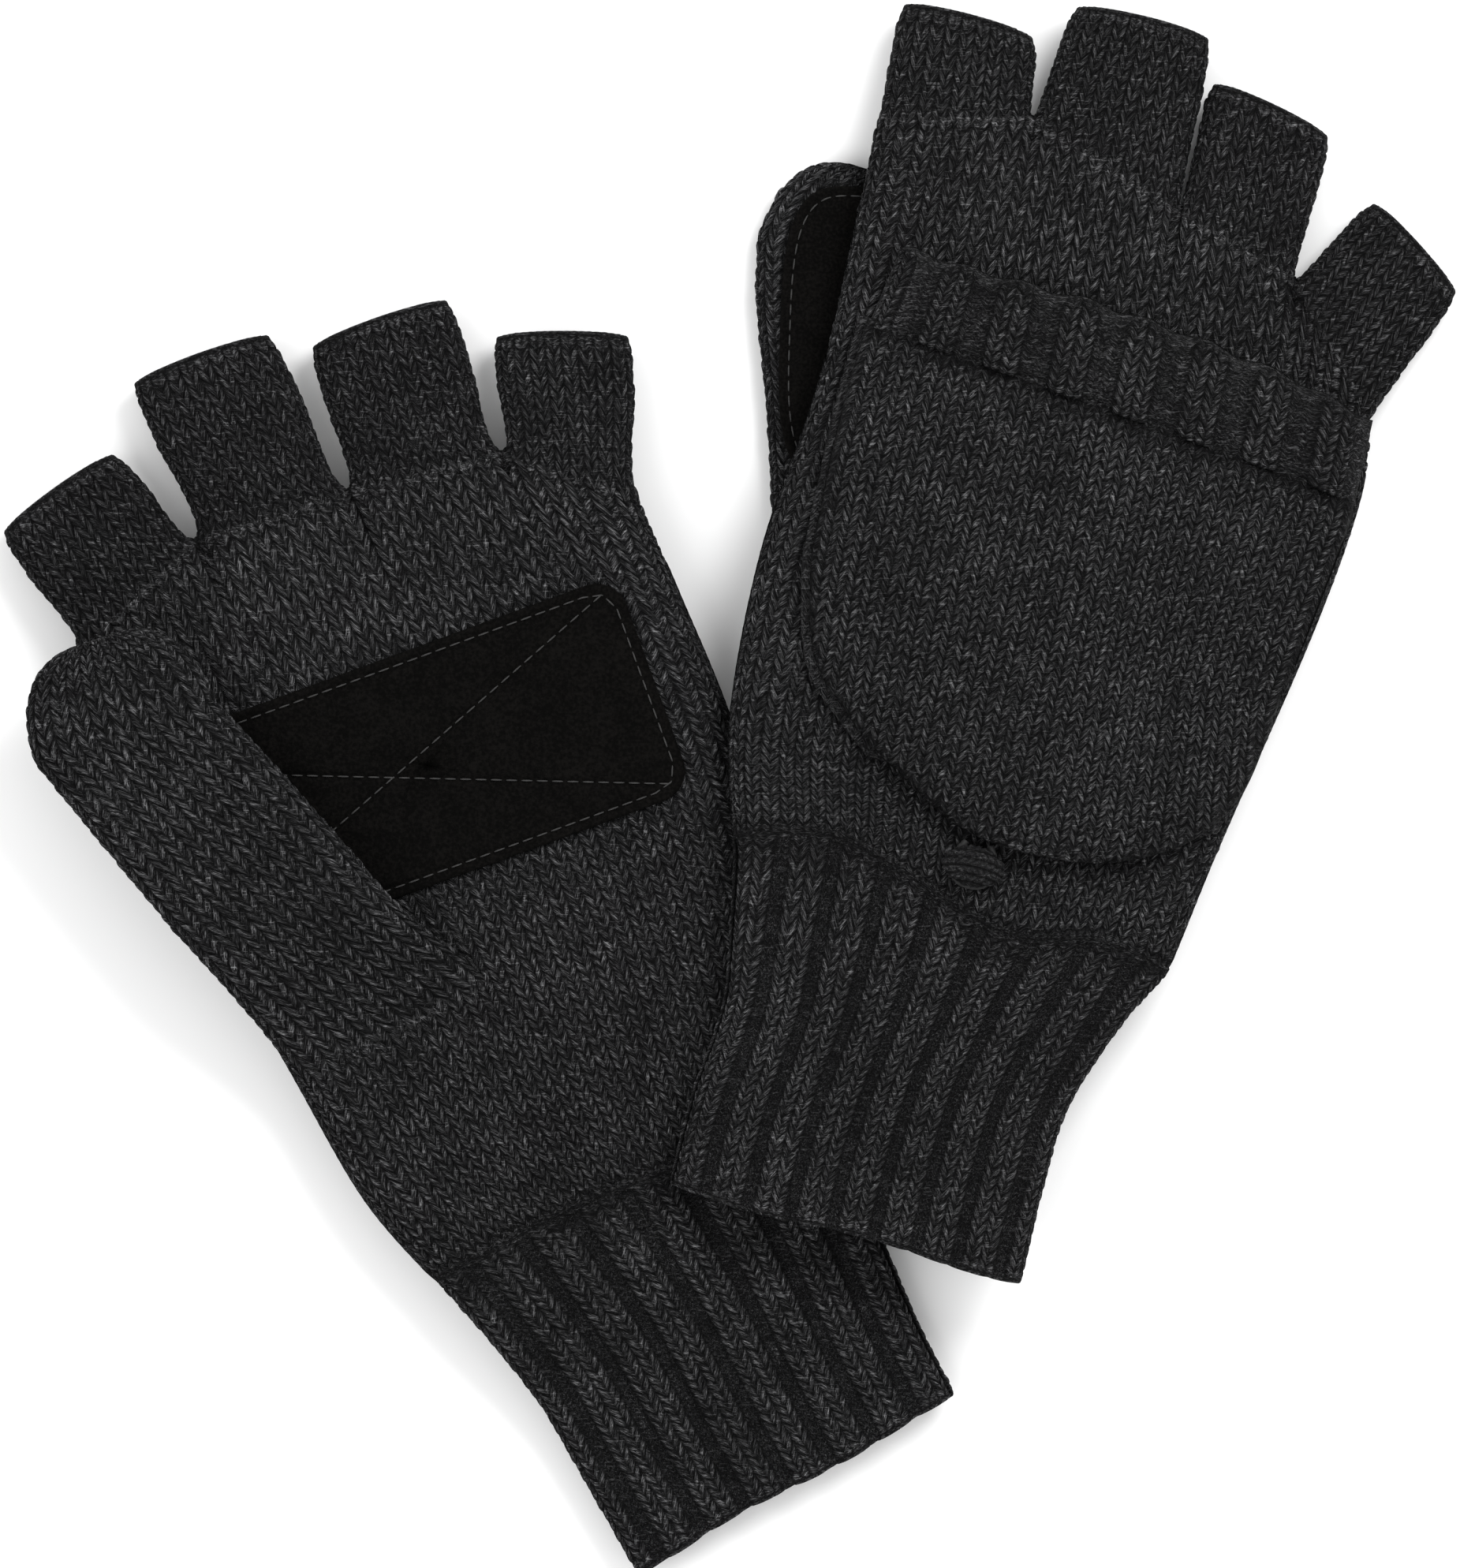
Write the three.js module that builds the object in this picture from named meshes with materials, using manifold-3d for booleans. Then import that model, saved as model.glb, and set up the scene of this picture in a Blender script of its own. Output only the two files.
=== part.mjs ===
import * as THREE from "three";
import Module from "manifold-3d";

const wasm = await Module();
wasm.setup();

// Lengths are in mm. Each mitten has its own plan: u runs across it, v from the cuff seam to the
// fingers, and w from the back of the hand to the palm, with w = 0 halfway through the hand.
const wall = 1.6; // one layer of knitting
const ribWall = 2.2; // the thicker rib of the flip-top's hem
const handDepth = 9.2; // the flattened hand, cuff and finger stalls, outside to outside
const thumbDepth = 8;
const flipDepth = 9; // the flip-top pocket, from the hand's back to its outer face
const suede = 1;
const thread = 0.4;
const layerGap = 0.4; // air between two layers that lie on each other
const seamGap = 0.6; // air where two tubes of knitting are sewn end to end
const patchGap = 0.5;
const threadGap = 0.15;
const handRound = 10; // how far in from a side edge the flattened tube reaches its full depth
const cuffRound = 8;
const fingerRound = 5;
const thumbRound = 7;
const flipRound = 12;

const patchLength = 97;
const patchHeight = 46;
const patchCorner = 6;
const patchTurn = -5; // degrees
const crossAt = -7.3; // where its sewn diagonals cross, from its middle towards the thumb
const stitchInset = 1.8;
const stitchWidth = 0.7;
const padHalfWidth = 14.5; // the suede pad on the thumb
const padHalfLength = 30;

const seamSlope = -0.095; // the knuckle seam and the flip-top's hem drop towards the little finger
const flipReach = 93; // knuckle seam to the flip-top's tip
const flipDome = 37; // length of the rounded part of that
const hemPast = 18; // the hem's edge stands this far past the knuckle seam
const hemWidth = 20;
const buttonHalfLength = 6.2;
const buttonHalfWidth = 3.8;
const buttonHeight = 7.4;
const buttonDrop = 5.6; // the flip-top's tip to the button's middle
const shankRadius = 2;
const shankHeight = 2.4;
const cordRadius = 0.7;

// The palm's face to the folded thumb's outer face: palm patch, sewing, the pad's sewing, the pad
// and the thumb itself.
const thumbStack =
  patchGap + 2 * (suede + thread + threadGap) + 2 * layerGap + thumbDepth;
const leftFingerSag = 6;
const leftCuffSag = 7;
const rightHeight = thumbStack + 2 * layerGap; // underside of the right hand at its knuckles
const knuckles = 106; // v of the knuckles
// Towards its cuff the right hand rises, to lie on top of the left one.
const rightSlope = (flipDepth + handDepth + layerGap + 1 - rightHeight) / knuckles;
const rightSideSag = 11;
const rightFingerSag = 5;

const smooth = (x) => {
  const t = Math.min(Math.max(x, 0), 1);
  return t * t * (3 - 2 * t);
};

// The right mitten lies on the left one and on its own thumb, and sags towards the little finger;
// the square root keeps it just off the table.
function rightRest(u, v) {
  const free =
    rightHeight -
    rightSlope * (Math.max(v, 0) - knuckles) -
    rightSideSag * smooth(u / 65) -
    rightFingerSag * smooth((v - 130) / 50);
  return (free + Math.sqrt(free * free + 4)) / 2;
}

function leftRest(u, v) {
  return flipDepth - leftFingerSag * smooth((v - 126) / 48) - leftCuffSag * smooth(-v / 50);
}

const left = {
  side: "left",
  lean: 25,
  at: [-17.3, -80.4],
  palmUp: true,
  rest: leftRest,
  thumbRest: flipDepth, // its flip-top lies on the table
  cuffLeft: [[-34, -68], [-36, -50], [-38, -28], [-46, 0]],
  cuffRight: [[39, -64], [38.5, -48], [39.3, -28], [41, 0]],
  handLeft: [[-46, 0], [-52, 21], [-54.5, 50], [-57.5, 90], [-57.5, 146]],
  handRight: [[41, 0], [49, 35], [55, 75], [56.5, 105], [57, 126]],
  crotches: [[-26.6, 156], [4.9, 152], [36, 146]],
  tips: [
    [[-61.9, 172.3], [-34, 177.5]],
    [[-25.6, 188.5], [4.2, 185.8]],
    [[10, 180], [39.6, 177]],
    [[44.3, 166.4], [69.4, 154.7]],
  ],
  thumbLeft: [[-57.5, 64], [-64, 88], [-70, 110], [-73.5, 127]],
  thumbRight: [[-20, 64], [-26, 90], [-32, 110], [-36.5, 124]],
  thumbHinge: [[-59, 64], [-75, 130]],
  patchAt: [-3.7, 94.6],
  padAt: [-51.5, 111],
  padLean: 13,
  seamAt: [2, 107],
  flipHalfWidth: 51,
  flipTipHalfWidth: 48,
  buttonAcross: -2,
};

const right = {
  side: "right",
  lean: -12.5,
  at: [43.4, -24.6],
  palmUp: false,
  rest: rightRest,
  thumbRest: thumbStack, // the thumb itself lies on the table
  cuffLeft: [[-42.5, -65], [-42, -48], [-40, -26], [-45, 0]],
  cuffRight: [[31, -69], [31, -50], [33, -31], [46, 0]],
  handLeft: [[-45, 0], [-50.5, 28], [-51.5, 62], [-47.5, 100], [-47.5, 152]],
  handRight: [[46, 0], [52, 30], [60, 70], [63.5, 98], [62, 115.5]],
  crotches: [[-17.3, 159], [15.5, 147], [41, 139]],
  tips: [
    [[-48, 174.5], [-20, 173.5]],
    [[-14, 181.5], [14.5, 181]],
    [[16.2, 172.5], [42.2, 167]],
    [[52.7, 156.5], [73.8, 141.8]],
  ],
  thumbLeft: [[-51.5, 62], [-58, 92], [-63, 110], [-65, 123]],
  thumbRight: [[-16, 62], [-21, 90], [-25, 108], [-28.5, 121]],
  thumbHinge: [[-53, 62], [-66.6, 125]],
  patchAt: [2.3, 96],
  padAt: [-44.5, 108],
  padLean: 10.5,
  seamAt: [10.5, 107],
  flipHalfWidth: 52,
  flipTipHalfWidth: 49,
  buttonAcross: 3.3,
};

// A point of a mitten's plan, set where the mitten lies.
function place(mitten, u, v, w, rest = mitten.rest(u, v)) {
  const turn = THREE.MathUtils.degToRad(mitten.lean);
  return new THREE.Vector3(
    mitten.at[0] + u * Math.cos(turn) - v * Math.sin(turn),
    mitten.at[1] + u * Math.sin(turn) + v * Math.cos(turn),
    rest + handDepth / 2 + (mitten.palmUp ? w : -w),
  );
}

const point = ([u, v]) => new THREE.Vector2(u, v);

// Rows across a piece, each from its left side line to its right one.
function rowsBetween(leftSide, rightSide, count, from = 0, to = 1) {
  const l = new THREE.SplineCurve(leftSide.map(point));
  const r = new THREE.SplineCurve(rightSide.map(point));
  return Array.from({ length: count }, (_, i) => {
    const t = from + ((to - from) * i) / (count - 1);
    return { left: l.getPointAt(t), right: r.getPointAt(t), shrink: 1, ahead: 0 };
  });
}

// Rows that close a rounded tip past the last row: half an ellipse of the given reach.
function tipRows(last, reach, round, steps = 5) {
  return Array.from({ length: steps }, (_, i) => {
    const turn = (Math.PI / 2) * ((i + 1) / (steps + 0.35));
    return { ...last, shrink: Math.cos(turn), ahead: Math.sin(turn), reach, round };
  });
}

// The height profile a distance d in from an edge that is rounded over the given width.
const profile = (d, round) => Math.sqrt(1 - (1 - Math.min(Math.max(d / round, 0), 1)) ** 2);

// One row's points: along it, and the share of the full depth there. The inset leaves the wall.
function rowPoints(row, round, inner, inset) {
  const across = row.right.clone().sub(row.left);
  const width = across.length();
  across.normalize();
  const centre = row.left.clone().add(row.right).multiplyScalar(0.5);
  const onward = new THREE.Vector2(-across.y, across.x);
  const edge = [0, 30, 60, 90].map((a) => {
    const turn = THREE.MathUtils.degToRad(a);
    return [inset + (round - inset) * (1 - Math.cos(turn)), Math.sin(turn)];
  });
  const stops = [
    ...edge,
    ...inner.map((share) => [width * share, 1]),
    ...edge.map(([d, p]) => [width - d, p]).reverse(),
  ];
  const reach = row.reach ? row.reach - inset : 0;
  const squash = row.reach ? profile(reach * (1 - row.ahead), row.round - inset) : 1;
  return stops.map(([d, p]) => {
    const at = centre
      .clone()
      .addScaledVector(across, (d - width / 2) * row.shrink)
      .addScaledVector(onward, row.ahead * reach);
    if (row.bend) at.y += row.bend(d / width);
    return [at.x, at.y, p * squash];
  });
}

function tipPoint(row, inset) {
  const across = row.right.clone().sub(row.left).normalize();
  const at = row.left.clone().add(row.right).multiplyScalar(0.5);
  const onward = new THREE.Vector2(-across.y, across.x);
  return at.addScaledVector(onward, row.reach - inset);
}

// A closed body from an outer and an inner grid of points. Rings wrap round; sheets have two side
// edges. With a tip, the last rows run together in one point each.
function bodyBetween(outer, inner, wrap, tip) {
  const points = [];
  const faces = [];
  const index = (rows) => rows.map((row) => row.map((p) => points.push(p) - 1));
  const a = index(outer);
  const b = index(inner);
  const last = a.length - 1;
  const count = a[0].length;
  const quad = (p, q, r, s) => faces.push([p, q, r], [p, r, s]);
  const pairs = Array.from({ length: wrap ? count : count - 1 }, (_, j) => [j, (j + 1) % count]);
  for (const [j, k] of pairs) {
    for (let i = 0; i < last; i++) {
      quad(a[i][j], a[i][k], a[i + 1][k], a[i + 1][j]);
      quad(b[i][k], b[i][j], b[i + 1][j], b[i + 1][k]);
    }
    quad(a[0][k], a[0][j], b[0][j], b[0][k]);
    if (!tip) quad(a[last][j], a[last][k], b[last][k], b[last][j]);
  }
  if (!wrap)
    for (let i = 0; i < last; i++) {
      quad(a[i][0], a[i + 1][0], b[i + 1][0], b[i][0]);
      quad(a[i + 1][count - 1], a[i][count - 1], b[i][count - 1], b[i + 1][count - 1]);
    }
  if (tip) {
    const [ta, tb] = tip.map((p) => points.push(p) - 1);
    for (const [j, k] of pairs) {
      faces.push([a[last][j], a[last][k], ta], [b[last][k], b[last][j], tb]);
    }
    if (!wrap) {
      quad(a[last][0], ta, tb, b[last][0]);
      quad(ta, a[last][count - 1], b[last][count - 1], tb);
    }
  }
  const geometry = new THREE.BufferGeometry().setFromPoints(points);
  geometry.setIndex(faces.flat());
  return geometry;
}

// Turns a geometry's faces outward, whichever way its points were laid.
function facingOut(geometry) {
  const p = geometry.getAttribute("position");
  const index = geometry.getIndex().array;
  const corner = (i) => new THREE.Vector3().fromBufferAttribute(p, index[i]);
  let volume = 0;
  for (let i = 0; i < index.length; i += 3)
    volume += corner(i).dot(corner(i + 1).cross(corner(i + 2)));
  if (volume < 0)
    for (let i = 0; i < index.length; i += 3)
      [index[i + 1], index[i + 2]] = [index[i + 2], index[i + 1]];
  return geometry;
}

const group = new THREE.Group();

function add(name, geometry, colour, roughness = 0.95) {
  const material = new THREE.MeshStandardMaterial({ color: colour, roughness });
  const mesh = new THREE.Mesh(facingOut(geometry), material);
  mesh.name = name;
  group.add(mesh);
}

const woolColour = 0x2b2b2d;
const suedeColour = 0x0b0b0b;
const threadColour = 0x2a2a2a;

// A flattened tube of knitting, open at its first row and at its last unless that closes a tip.
function tube(mitten, rows, depth, round, inner, middle = 0, rest) {
  const ring = (inset) =>
    rows.map((row) => {
      const half = rowPoints(row, round, inner, inset).map(([u, v, p]) => [
        u,
        v,
        (depth / 2 - inset) * p,
      ]);
      const over = half.map(([u, v, h]) => place(mitten, u, v, middle + h, rest));
      const under = half.map(([u, v, h]) => place(mitten, u, v, middle - h, rest));
      return [...over, ...under.slice(1, -1).reverse()];
    });
  const last = rows.at(-1);
  const tip = last.reach
    ? [0, wall].map((inset) => {
        const at = tipPoint(last, inset);
        return place(mitten, at.x, at.y, middle, rest);
      })
    : null;
  return bodyBetween(ring(0), ring(wall), true, tip);
}

// One layer of the flip-top: w from the two height functions of the profile share.
function layer(mitten, rows, round, inner, thickness, outerHeight, innerHeight) {
  const grid = (inset, height) =>
    rows.map((row) =>
      rowPoints(row, round, inner, inset).map(([u, v, p]) => place(mitten, u, v, height(p))),
    );
  const last = rows.at(-1);
  const tip = last.reach
    ? [[0, outerHeight], [thickness, innerHeight]].map(([inset, height]) => {
        const at = tipPoint(last, inset);
        return place(mitten, at.x, at.y, height(0));
      })
    : null;
  return bodyBetween(grid(0, outerHeight), grid(thickness, innerHeight), false, tip);
}

// A flat shape lying on a mitten's plan between two heights, bent with the mitten.
function plate(mitten, shape, low, high, edge, rest) {
  const flat = new THREE.ExtrudeGeometry(shape, {
    depth: high - low,
    bevelEnabled: false,
    curveSegments: 5,
  });
  const p = flat.getAttribute("position");
  const ids = new Map();
  const corners = [];
  const faces = Array.from({ length: p.count }, (_, i) => {
    const key = [p.getX(i), p.getY(i), p.getZ(i)].map((c) => c.toFixed(4)).join();
    if (!ids.has(key)) {
      ids.set(key, ids.size);
      corners.push(p.getX(i), p.getY(i), p.getZ(i));
    }
    return ids.get(key);
  });
  const solid = new wasm.Manifold(
    new wasm.Mesh({
      numProp: 3,
      vertProperties: new Float32Array(corners),
      triVerts: new Uint32Array(faces),
    }),
  ).refineToLength(edge);
  const mesh = solid.getMesh();
  const points = [];
  for (let i = 0; i < mesh.vertProperties.length; i += mesh.numProp) {
    const [u, v, h] = mesh.vertProperties.subarray(i, i + 3);
    points.push(place(mitten, u, v, low + h, rest));
  }
  const geometry = new THREE.BufferGeometry().setFromPoints(points);
  geometry.setIndex([...mesh.triVerts]);
  return geometry;
}

function turned(shape, [u, v], degrees) {
  const turn = THREE.MathUtils.degToRad(degrees);
  const move = (p) =>
    new THREE.Vector2(
      u + p.x * Math.cos(turn) - p.y * Math.sin(turn),
      v + p.x * Math.sin(turn) + p.y * Math.cos(turn),
    );
  const result = new THREE.Shape(shape.getPoints(5).map(move));
  result.holes = shape.holes.map((hole) => new THREE.Path(hole.getPoints(5).map(move)));
  return result;
}

function roundedBlock(halfLength, halfHeight, corner) {
  const shape = new THREE.Shape();
  const reach = [halfLength - corner, halfHeight - corner];
  shape.absarc(reach[0], -reach[1], corner, -Math.PI / 2, 0);
  shape.absarc(reach[0], reach[1], corner, 0, Math.PI / 2);
  shape.absarc(-reach[0], reach[1], corner, Math.PI / 2, Math.PI);
  shape.absarc(-reach[0], -reach[1], corner, Math.PI, Math.PI * 1.5);
  shape.closePath();
  return shape;
}

// The palm patch's sewing: round the edge, and two lines from the corners by the little finger that
// cross and run on to the thumb end. The lines' edges are slope * |u - crossAt|, plus or minus rise.
function patchStitches() {
  const x = patchLength / 2 - stitchInset;
  const y = patchHeight / 2 - stitchInset;
  const shape = new THREE.Shape([[-x, -y], [x, -y], [x, y], [-x, y]].map(point));
  const slope = y / (x - crossAt);
  const rise = (stitchWidth / 2) * Math.hypot(1, slope);
  const innerX = x - stitchWidth;
  const innerY = y - stitchWidth;
  const near = Math.min(slope * (innerX - crossAt) - rise, innerY);
  const far = slope * (innerX + crossAt);
  for (const s of [1, -1])
    shape.holes.push(new THREE.Path([[crossAt, s * rise],
      [crossAt + (innerY - rise) / slope, s * innerY], [-innerX, s * innerY],
      [-innerX, s * (far + rise)]].map(point)));
  shape.holes.push(
    new THREE.Path([[innerX, near], [innerX, -near], [crossAt + rise / slope, 0]].map(point)),
    new THREE.Path([[-innerX, far - rise], [-innerX, rise - far],
      [crossAt - rise / slope, 0]].map(point)),
  );
  return shape;
}

function oval(halfWidth, halfLength) {
  return new THREE.Shape().absellipse(0, 0, halfWidth, halfLength, 0, Math.PI * 2);
}

// The hand's finger end follows the finger roots; the bend fades towards the cuff.
function handRows(mitten) {
  const rows = rowsBetween(mitten.handLeft, mitten.handRight, 8);
  const roots = [mitten.handLeft.at(-1), ...mitten.crotches, mitten.handRight.at(-1)];
  const [first, end] = [roots[0], roots.at(-1)];
  const share = ([u]) => (u - first[0]) / (end[0] - first[0]);
  const lift = (a) => {
    const k = Math.max(1, roots.findIndex((root) => share(root) >= a - 1e-6));
    const [p, q] = [roots[k - 1], roots[k]];
    const t = (a - share(p)) / (share(q) - share(p));
    return p[1] + (q[1] - p[1]) * t - (first[1] + (end[1] - first[1]) * a);
  };
  rows.forEach((row, i) => {
    const fade = (i / (rows.length - 1)) ** 4;
    row.bend = (a) => fade * lift(Math.min(Math.max(a, 0), 1)) - fade * seamGap;
  });
  const stops = roots.slice(0, -1).flatMap((root, k) => {
    const [a, b] = [share(root), share(roots[k + 1])];
    return k ? [a, (a + b) / 2] : [(a + b) / 2];
  });
  return { rows, stops };
}

const even = (count) => Array.from({ length: count }, (_, i) => (i + 1) / (count + 1));
const fingerNames = ["index", "middle", "ring", "little"];
const hinges = {};

for (const mitten of [left, right]) {
  const name = (piece) => mitten.side + "_" + piece;

  const cuffRows = rowsBetween(mitten.cuffLeft, mitten.cuffRight, 6);
  for (const side of ["left", "right"]) cuffRows.at(-1)[side].y -= seamGap;
  add(name("cuff"), tube(mitten, cuffRows, handDepth, cuffRound, even(5)), woolColour);

  const hand = handRows(mitten);
  add(name("hand"), tube(mitten, hand.rows, handDepth, handRound, hand.stops), woolColour);

  const roots = [mitten.handLeft.at(-1), ...mitten.crotches, mitten.handRight.at(-1)];
  fingerNames.forEach((finger, k) => {
    const [l, r] = [roots[k], roots[k + 1]];
    const [tipLeft, tipRight] = mitten.tips[k];
    const aside = seamGap / 2;
    const rows = rowsBetween(
      [[l[0] + aside, l[1]], tipLeft],
      [[r[0] - aside, r[1]], tipRight],
      4,
    );
    add(name(finger + "_stall"), tube(mitten, rows, handDepth, fingerRound, even(2)), woolColour);
  });

  const thumbLow = handDepth / 2 + thumbStack - thumbDepth;
  const thumbMiddle = thumbLow + thumbDepth / 2;
  const padFace = thumbLow - layerGap - suede;
  const padLow = padFace - threadGap - thread;
  const thumbRows = rowsBetween(mitten.thumbLeft, mitten.thumbRight, 4);
  thumbRows.push(...tipRows(thumbRows.at(-1), 19.5, thumbRound));
  add(
    name("thumb"),
    tube(mitten, thumbRows, thumbDepth, thumbRound, even(3), thumbMiddle, mitten.thumbRest),
    woolColour,
  );

  const padShape = turned(oval(padHalfWidth, padHalfLength), mitten.padAt, mitten.padLean);
  const padLine = oval(padHalfWidth - stitchInset, padHalfLength - stitchInset);
  const padLineIn = padHalfWidth - stitchInset - stitchWidth;
  padLine.holes.push(oval(padLineIn, padHalfLength - stitchInset - stitchWidth));
  add(
    name("thumb_patch"),
    plate(mitten, padShape, padFace, padFace + suede, 40, mitten.thumbRest),
    suedeColour,
  );
  add(
    name("thumb_patch_stitching"),
    plate(mitten, turned(padLine, mitten.padAt, mitten.padLean), padLow, padLow + thread, 40,
      mitten.thumbRest),
    threadColour,
  );

  const palm = handDepth / 2 + patchGap;
  const block = roundedBlock(patchLength / 2, patchHeight / 2, patchCorner);
  add(
    name("palm_patch"),
    plate(mitten, turned(block, mitten.patchAt, patchTurn), palm, palm + suede, 12),
    suedeColour,
  );
  const threadLow = palm + suede + threadGap;
  add(
    name("palm_patch_stitching"),
    plate(mitten, turned(patchStitches(), mitten.patchAt, patchTurn), threadLow,
      threadLow + thread, 12),
    threadColour,
  );

  // The flip-top, folded back over the hand's back: a flat inner layer from the knuckle seam, an
  // arched outer one, and the hem that edges the arch past the seam.
  const back = -handDepth / 2;
  const [su, sv] = mitten.seamAt;
  const half = mitten.flipHalfWidth;
  const slope = (u, ahead) => sv + ahead + seamSlope * (u - su);
  const across = (from, halfWidth) => [
    [su + halfWidth, slope(su + halfWidth, from)],
    [su - halfWidth, slope(su - halfWidth, from)],
  ];
  const flipRows = (from) => {
    const domeAt = flipDome - flipReach;
    const [start, middle, end] = [
      across(from, half),
      across((from + domeAt) / 2, half),
      across(domeAt, mitten.flipTipHalfWidth),
    ];
    const rows = rowsBetween([start[0], middle[0], end[0]], [start[1], middle[1], end[1]], 4);
    rows.push(...tipRows(rows.at(-1), flipDome, flipRound, 6));
    return rows;
  };
  const innerFace = back - layerGap;
  add(
    name("flip_top_inner_layer"),
    layer(mitten, flipRows(0), flipRound, even(5), 0.01, () => innerFace - wall, () => innerFace),
    woolColour,
  );
  const arch = innerFace - wall - layerGap;
  const archOuter = back - flipDepth;
  add(
    name("flip_top_outer_layer"),
    layer(mitten, flipRows(hemPast - hemWidth), flipRound, even(5), wall,
      (p) => arch + (archOuter - arch) * p,
      (p) => arch + (archOuter + wall - arch) * p),
    woolColour,
  );
  const hemEnds = [across(hemPast, half), across(hemPast - hemWidth + seamGap, half)];
  const hemRows = rowsBetween(
    [hemEnds[0][0], hemEnds[1][0]],
    [hemEnds[0][1], hemEnds[1][1]],
    3,
  );
  add(
    name("flip_top_hem"),
    layer(mitten, hemRows, flipRound, even(5), ribWall,
      (p) => arch + (archOuter - arch) * p,
      (p) => arch + (archOuter + ribWall - arch) * p),
    woolColour,
  );

  const bu = mitten.buttonAcross;
  const tipV = slope(bu, -flipReach);
  const bv = tipV - buttonDrop;
  const foot = back - 0.3;
  const head = foot - shankHeight;
  const rise = buttonHeight - shankHeight;
  const dome = [0, 22, 45, 68, 90].map((a) => {
    const turn = THREE.MathUtils.degToRad(a);
    return new THREE.Vector2(Math.cos(turn), head - rise * Math.sin(turn));
  });
  const rimRadius = shankRadius / buttonHalfWidth;
  const knob = new THREE.LatheGeometry(
    [new THREE.Vector2(0, foot), new THREE.Vector2(rimRadius, foot),
      new THREE.Vector2(rimRadius, head), ...dome.slice(0, -1), new THREE.Vector2(0, head - rise)],
    20,
  );
  const knobPoints = knob.getAttribute("position");
  for (let i = 0; i < knobPoints.count; i++) {
    const [x, w, y] = [knobPoints.getX(i), knobPoints.getY(i), knobPoints.getZ(i)];
    const at = place(mitten, bu + x * buttonHalfLength, bv + y * buttonHalfWidth, w,
      mitten.rest(bu, bv));
    knobPoints.setXYZ(i, at.x, at.y, at.z);
  }
  add(name("button"), knob, woolColour);

  // The elastic loop: from the flip-top's tip round the button's shank and back.
  const loopW = foot - shankHeight / 2;
  const reachBelow = bv - shankRadius - 1.2;
  const loopPath = new THREE.CatmullRomCurve3(
    [[2.4, tipV - 0.9], [4.6, bv], [2.6, reachBelow], [0, reachBelow - 0.7], [-2.6, reachBelow],
      [-4.6, bv], [-2.4, tipV - 0.9]].map(([x, y]) =>
      place(mitten, bu + x, y, loopW, mitten.rest(bu, bv))),
  );
  const round = new THREE.Shape().absarc(0, 0, cordRadius, 0, Math.PI * 2);
  const cord = new THREE.ExtrudeGeometry(round, {
    extrudePath: loopPath,
    steps: 18,
    curveSegments: 4,
    bevelEnabled: false,
  });
  cord.setIndex([...Array(cord.getAttribute("position").count).keys()]);
  add(name("button_loop"), cord, 0x161616, 0.6);

  const seamRest = mitten.rest(su, sv);
  hinges[name("flip_top")] = [-half, half].map((x) =>
    place(mitten, su + x, slope(su + x, 0), innerFace - wall, seamRest),
  );
  hinges[name("thumb")] = mitten.thumbHinge.map(([u, v]) =>
    place(mitten, u, v, padLow, mitten.thumbRest),
  );
}

// The origin is the middle of the pair's footprint, on the table.
const box = new THREE.Box3().setFromObject(group, true);
const shift = new THREE.Vector3(
  -(box.min.x + box.max.x) / 2,
  -(box.min.y + box.max.y) / 2,
  -box.min.z,
);
for (const mesh of group.children) mesh.geometry.translate(shift.x, shift.y, shift.z);
group.userData.hinges = Object.fromEntries(
  Object.entries(hinges).map(([joint, ends]) => [joint, ends.map((p) => p.clone().add(shift))]),
);

export default group;
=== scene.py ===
import math

import bmesh
import bpy
import numpy as np
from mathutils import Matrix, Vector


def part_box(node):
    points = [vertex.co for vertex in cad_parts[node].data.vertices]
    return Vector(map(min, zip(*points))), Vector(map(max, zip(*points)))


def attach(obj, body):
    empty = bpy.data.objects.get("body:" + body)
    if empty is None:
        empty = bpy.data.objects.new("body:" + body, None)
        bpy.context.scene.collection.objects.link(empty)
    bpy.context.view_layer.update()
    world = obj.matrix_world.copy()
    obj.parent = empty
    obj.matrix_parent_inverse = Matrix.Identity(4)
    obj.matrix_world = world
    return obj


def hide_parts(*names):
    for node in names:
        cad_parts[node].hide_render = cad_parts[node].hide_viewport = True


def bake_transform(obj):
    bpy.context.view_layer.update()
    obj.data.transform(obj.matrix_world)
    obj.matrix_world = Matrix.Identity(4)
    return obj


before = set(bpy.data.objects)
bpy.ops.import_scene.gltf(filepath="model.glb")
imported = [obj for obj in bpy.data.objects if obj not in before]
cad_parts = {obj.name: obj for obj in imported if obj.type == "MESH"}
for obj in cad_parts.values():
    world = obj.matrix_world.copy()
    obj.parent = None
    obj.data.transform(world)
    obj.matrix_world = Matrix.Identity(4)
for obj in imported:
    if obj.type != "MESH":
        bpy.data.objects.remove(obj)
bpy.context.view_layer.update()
print("frame loaded:", len(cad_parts), "CAD nodes")

# Lengths are in mm on each mitten's own plan: u across, v from the cuff seam to the fingers,
# w from the back of the hand to the palm. The outlines are the CAD part's.
handDepth = 9.2  # a flattened tube, outside to outside
wall = 1.6  # one layer of knitting
thumbStack = 12.4  # the palm's face to the folded thumb's outer face
flipDepth = 9.0  # the flip-top pocket, from the hand's back to its outer face
seamSlope = -0.095  # how the knuckle seam drops towards the little finger
buttonFoot = 0.3  # the button's foot above the hand's back
cordRadius = 0.7  # the elastic loop
perCourse = 4  # grid rows in one course of knitting
legColumns = 6  # grid columns in one stitch
knitLift = 0.6  # how far the stitches stand in relief

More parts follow.
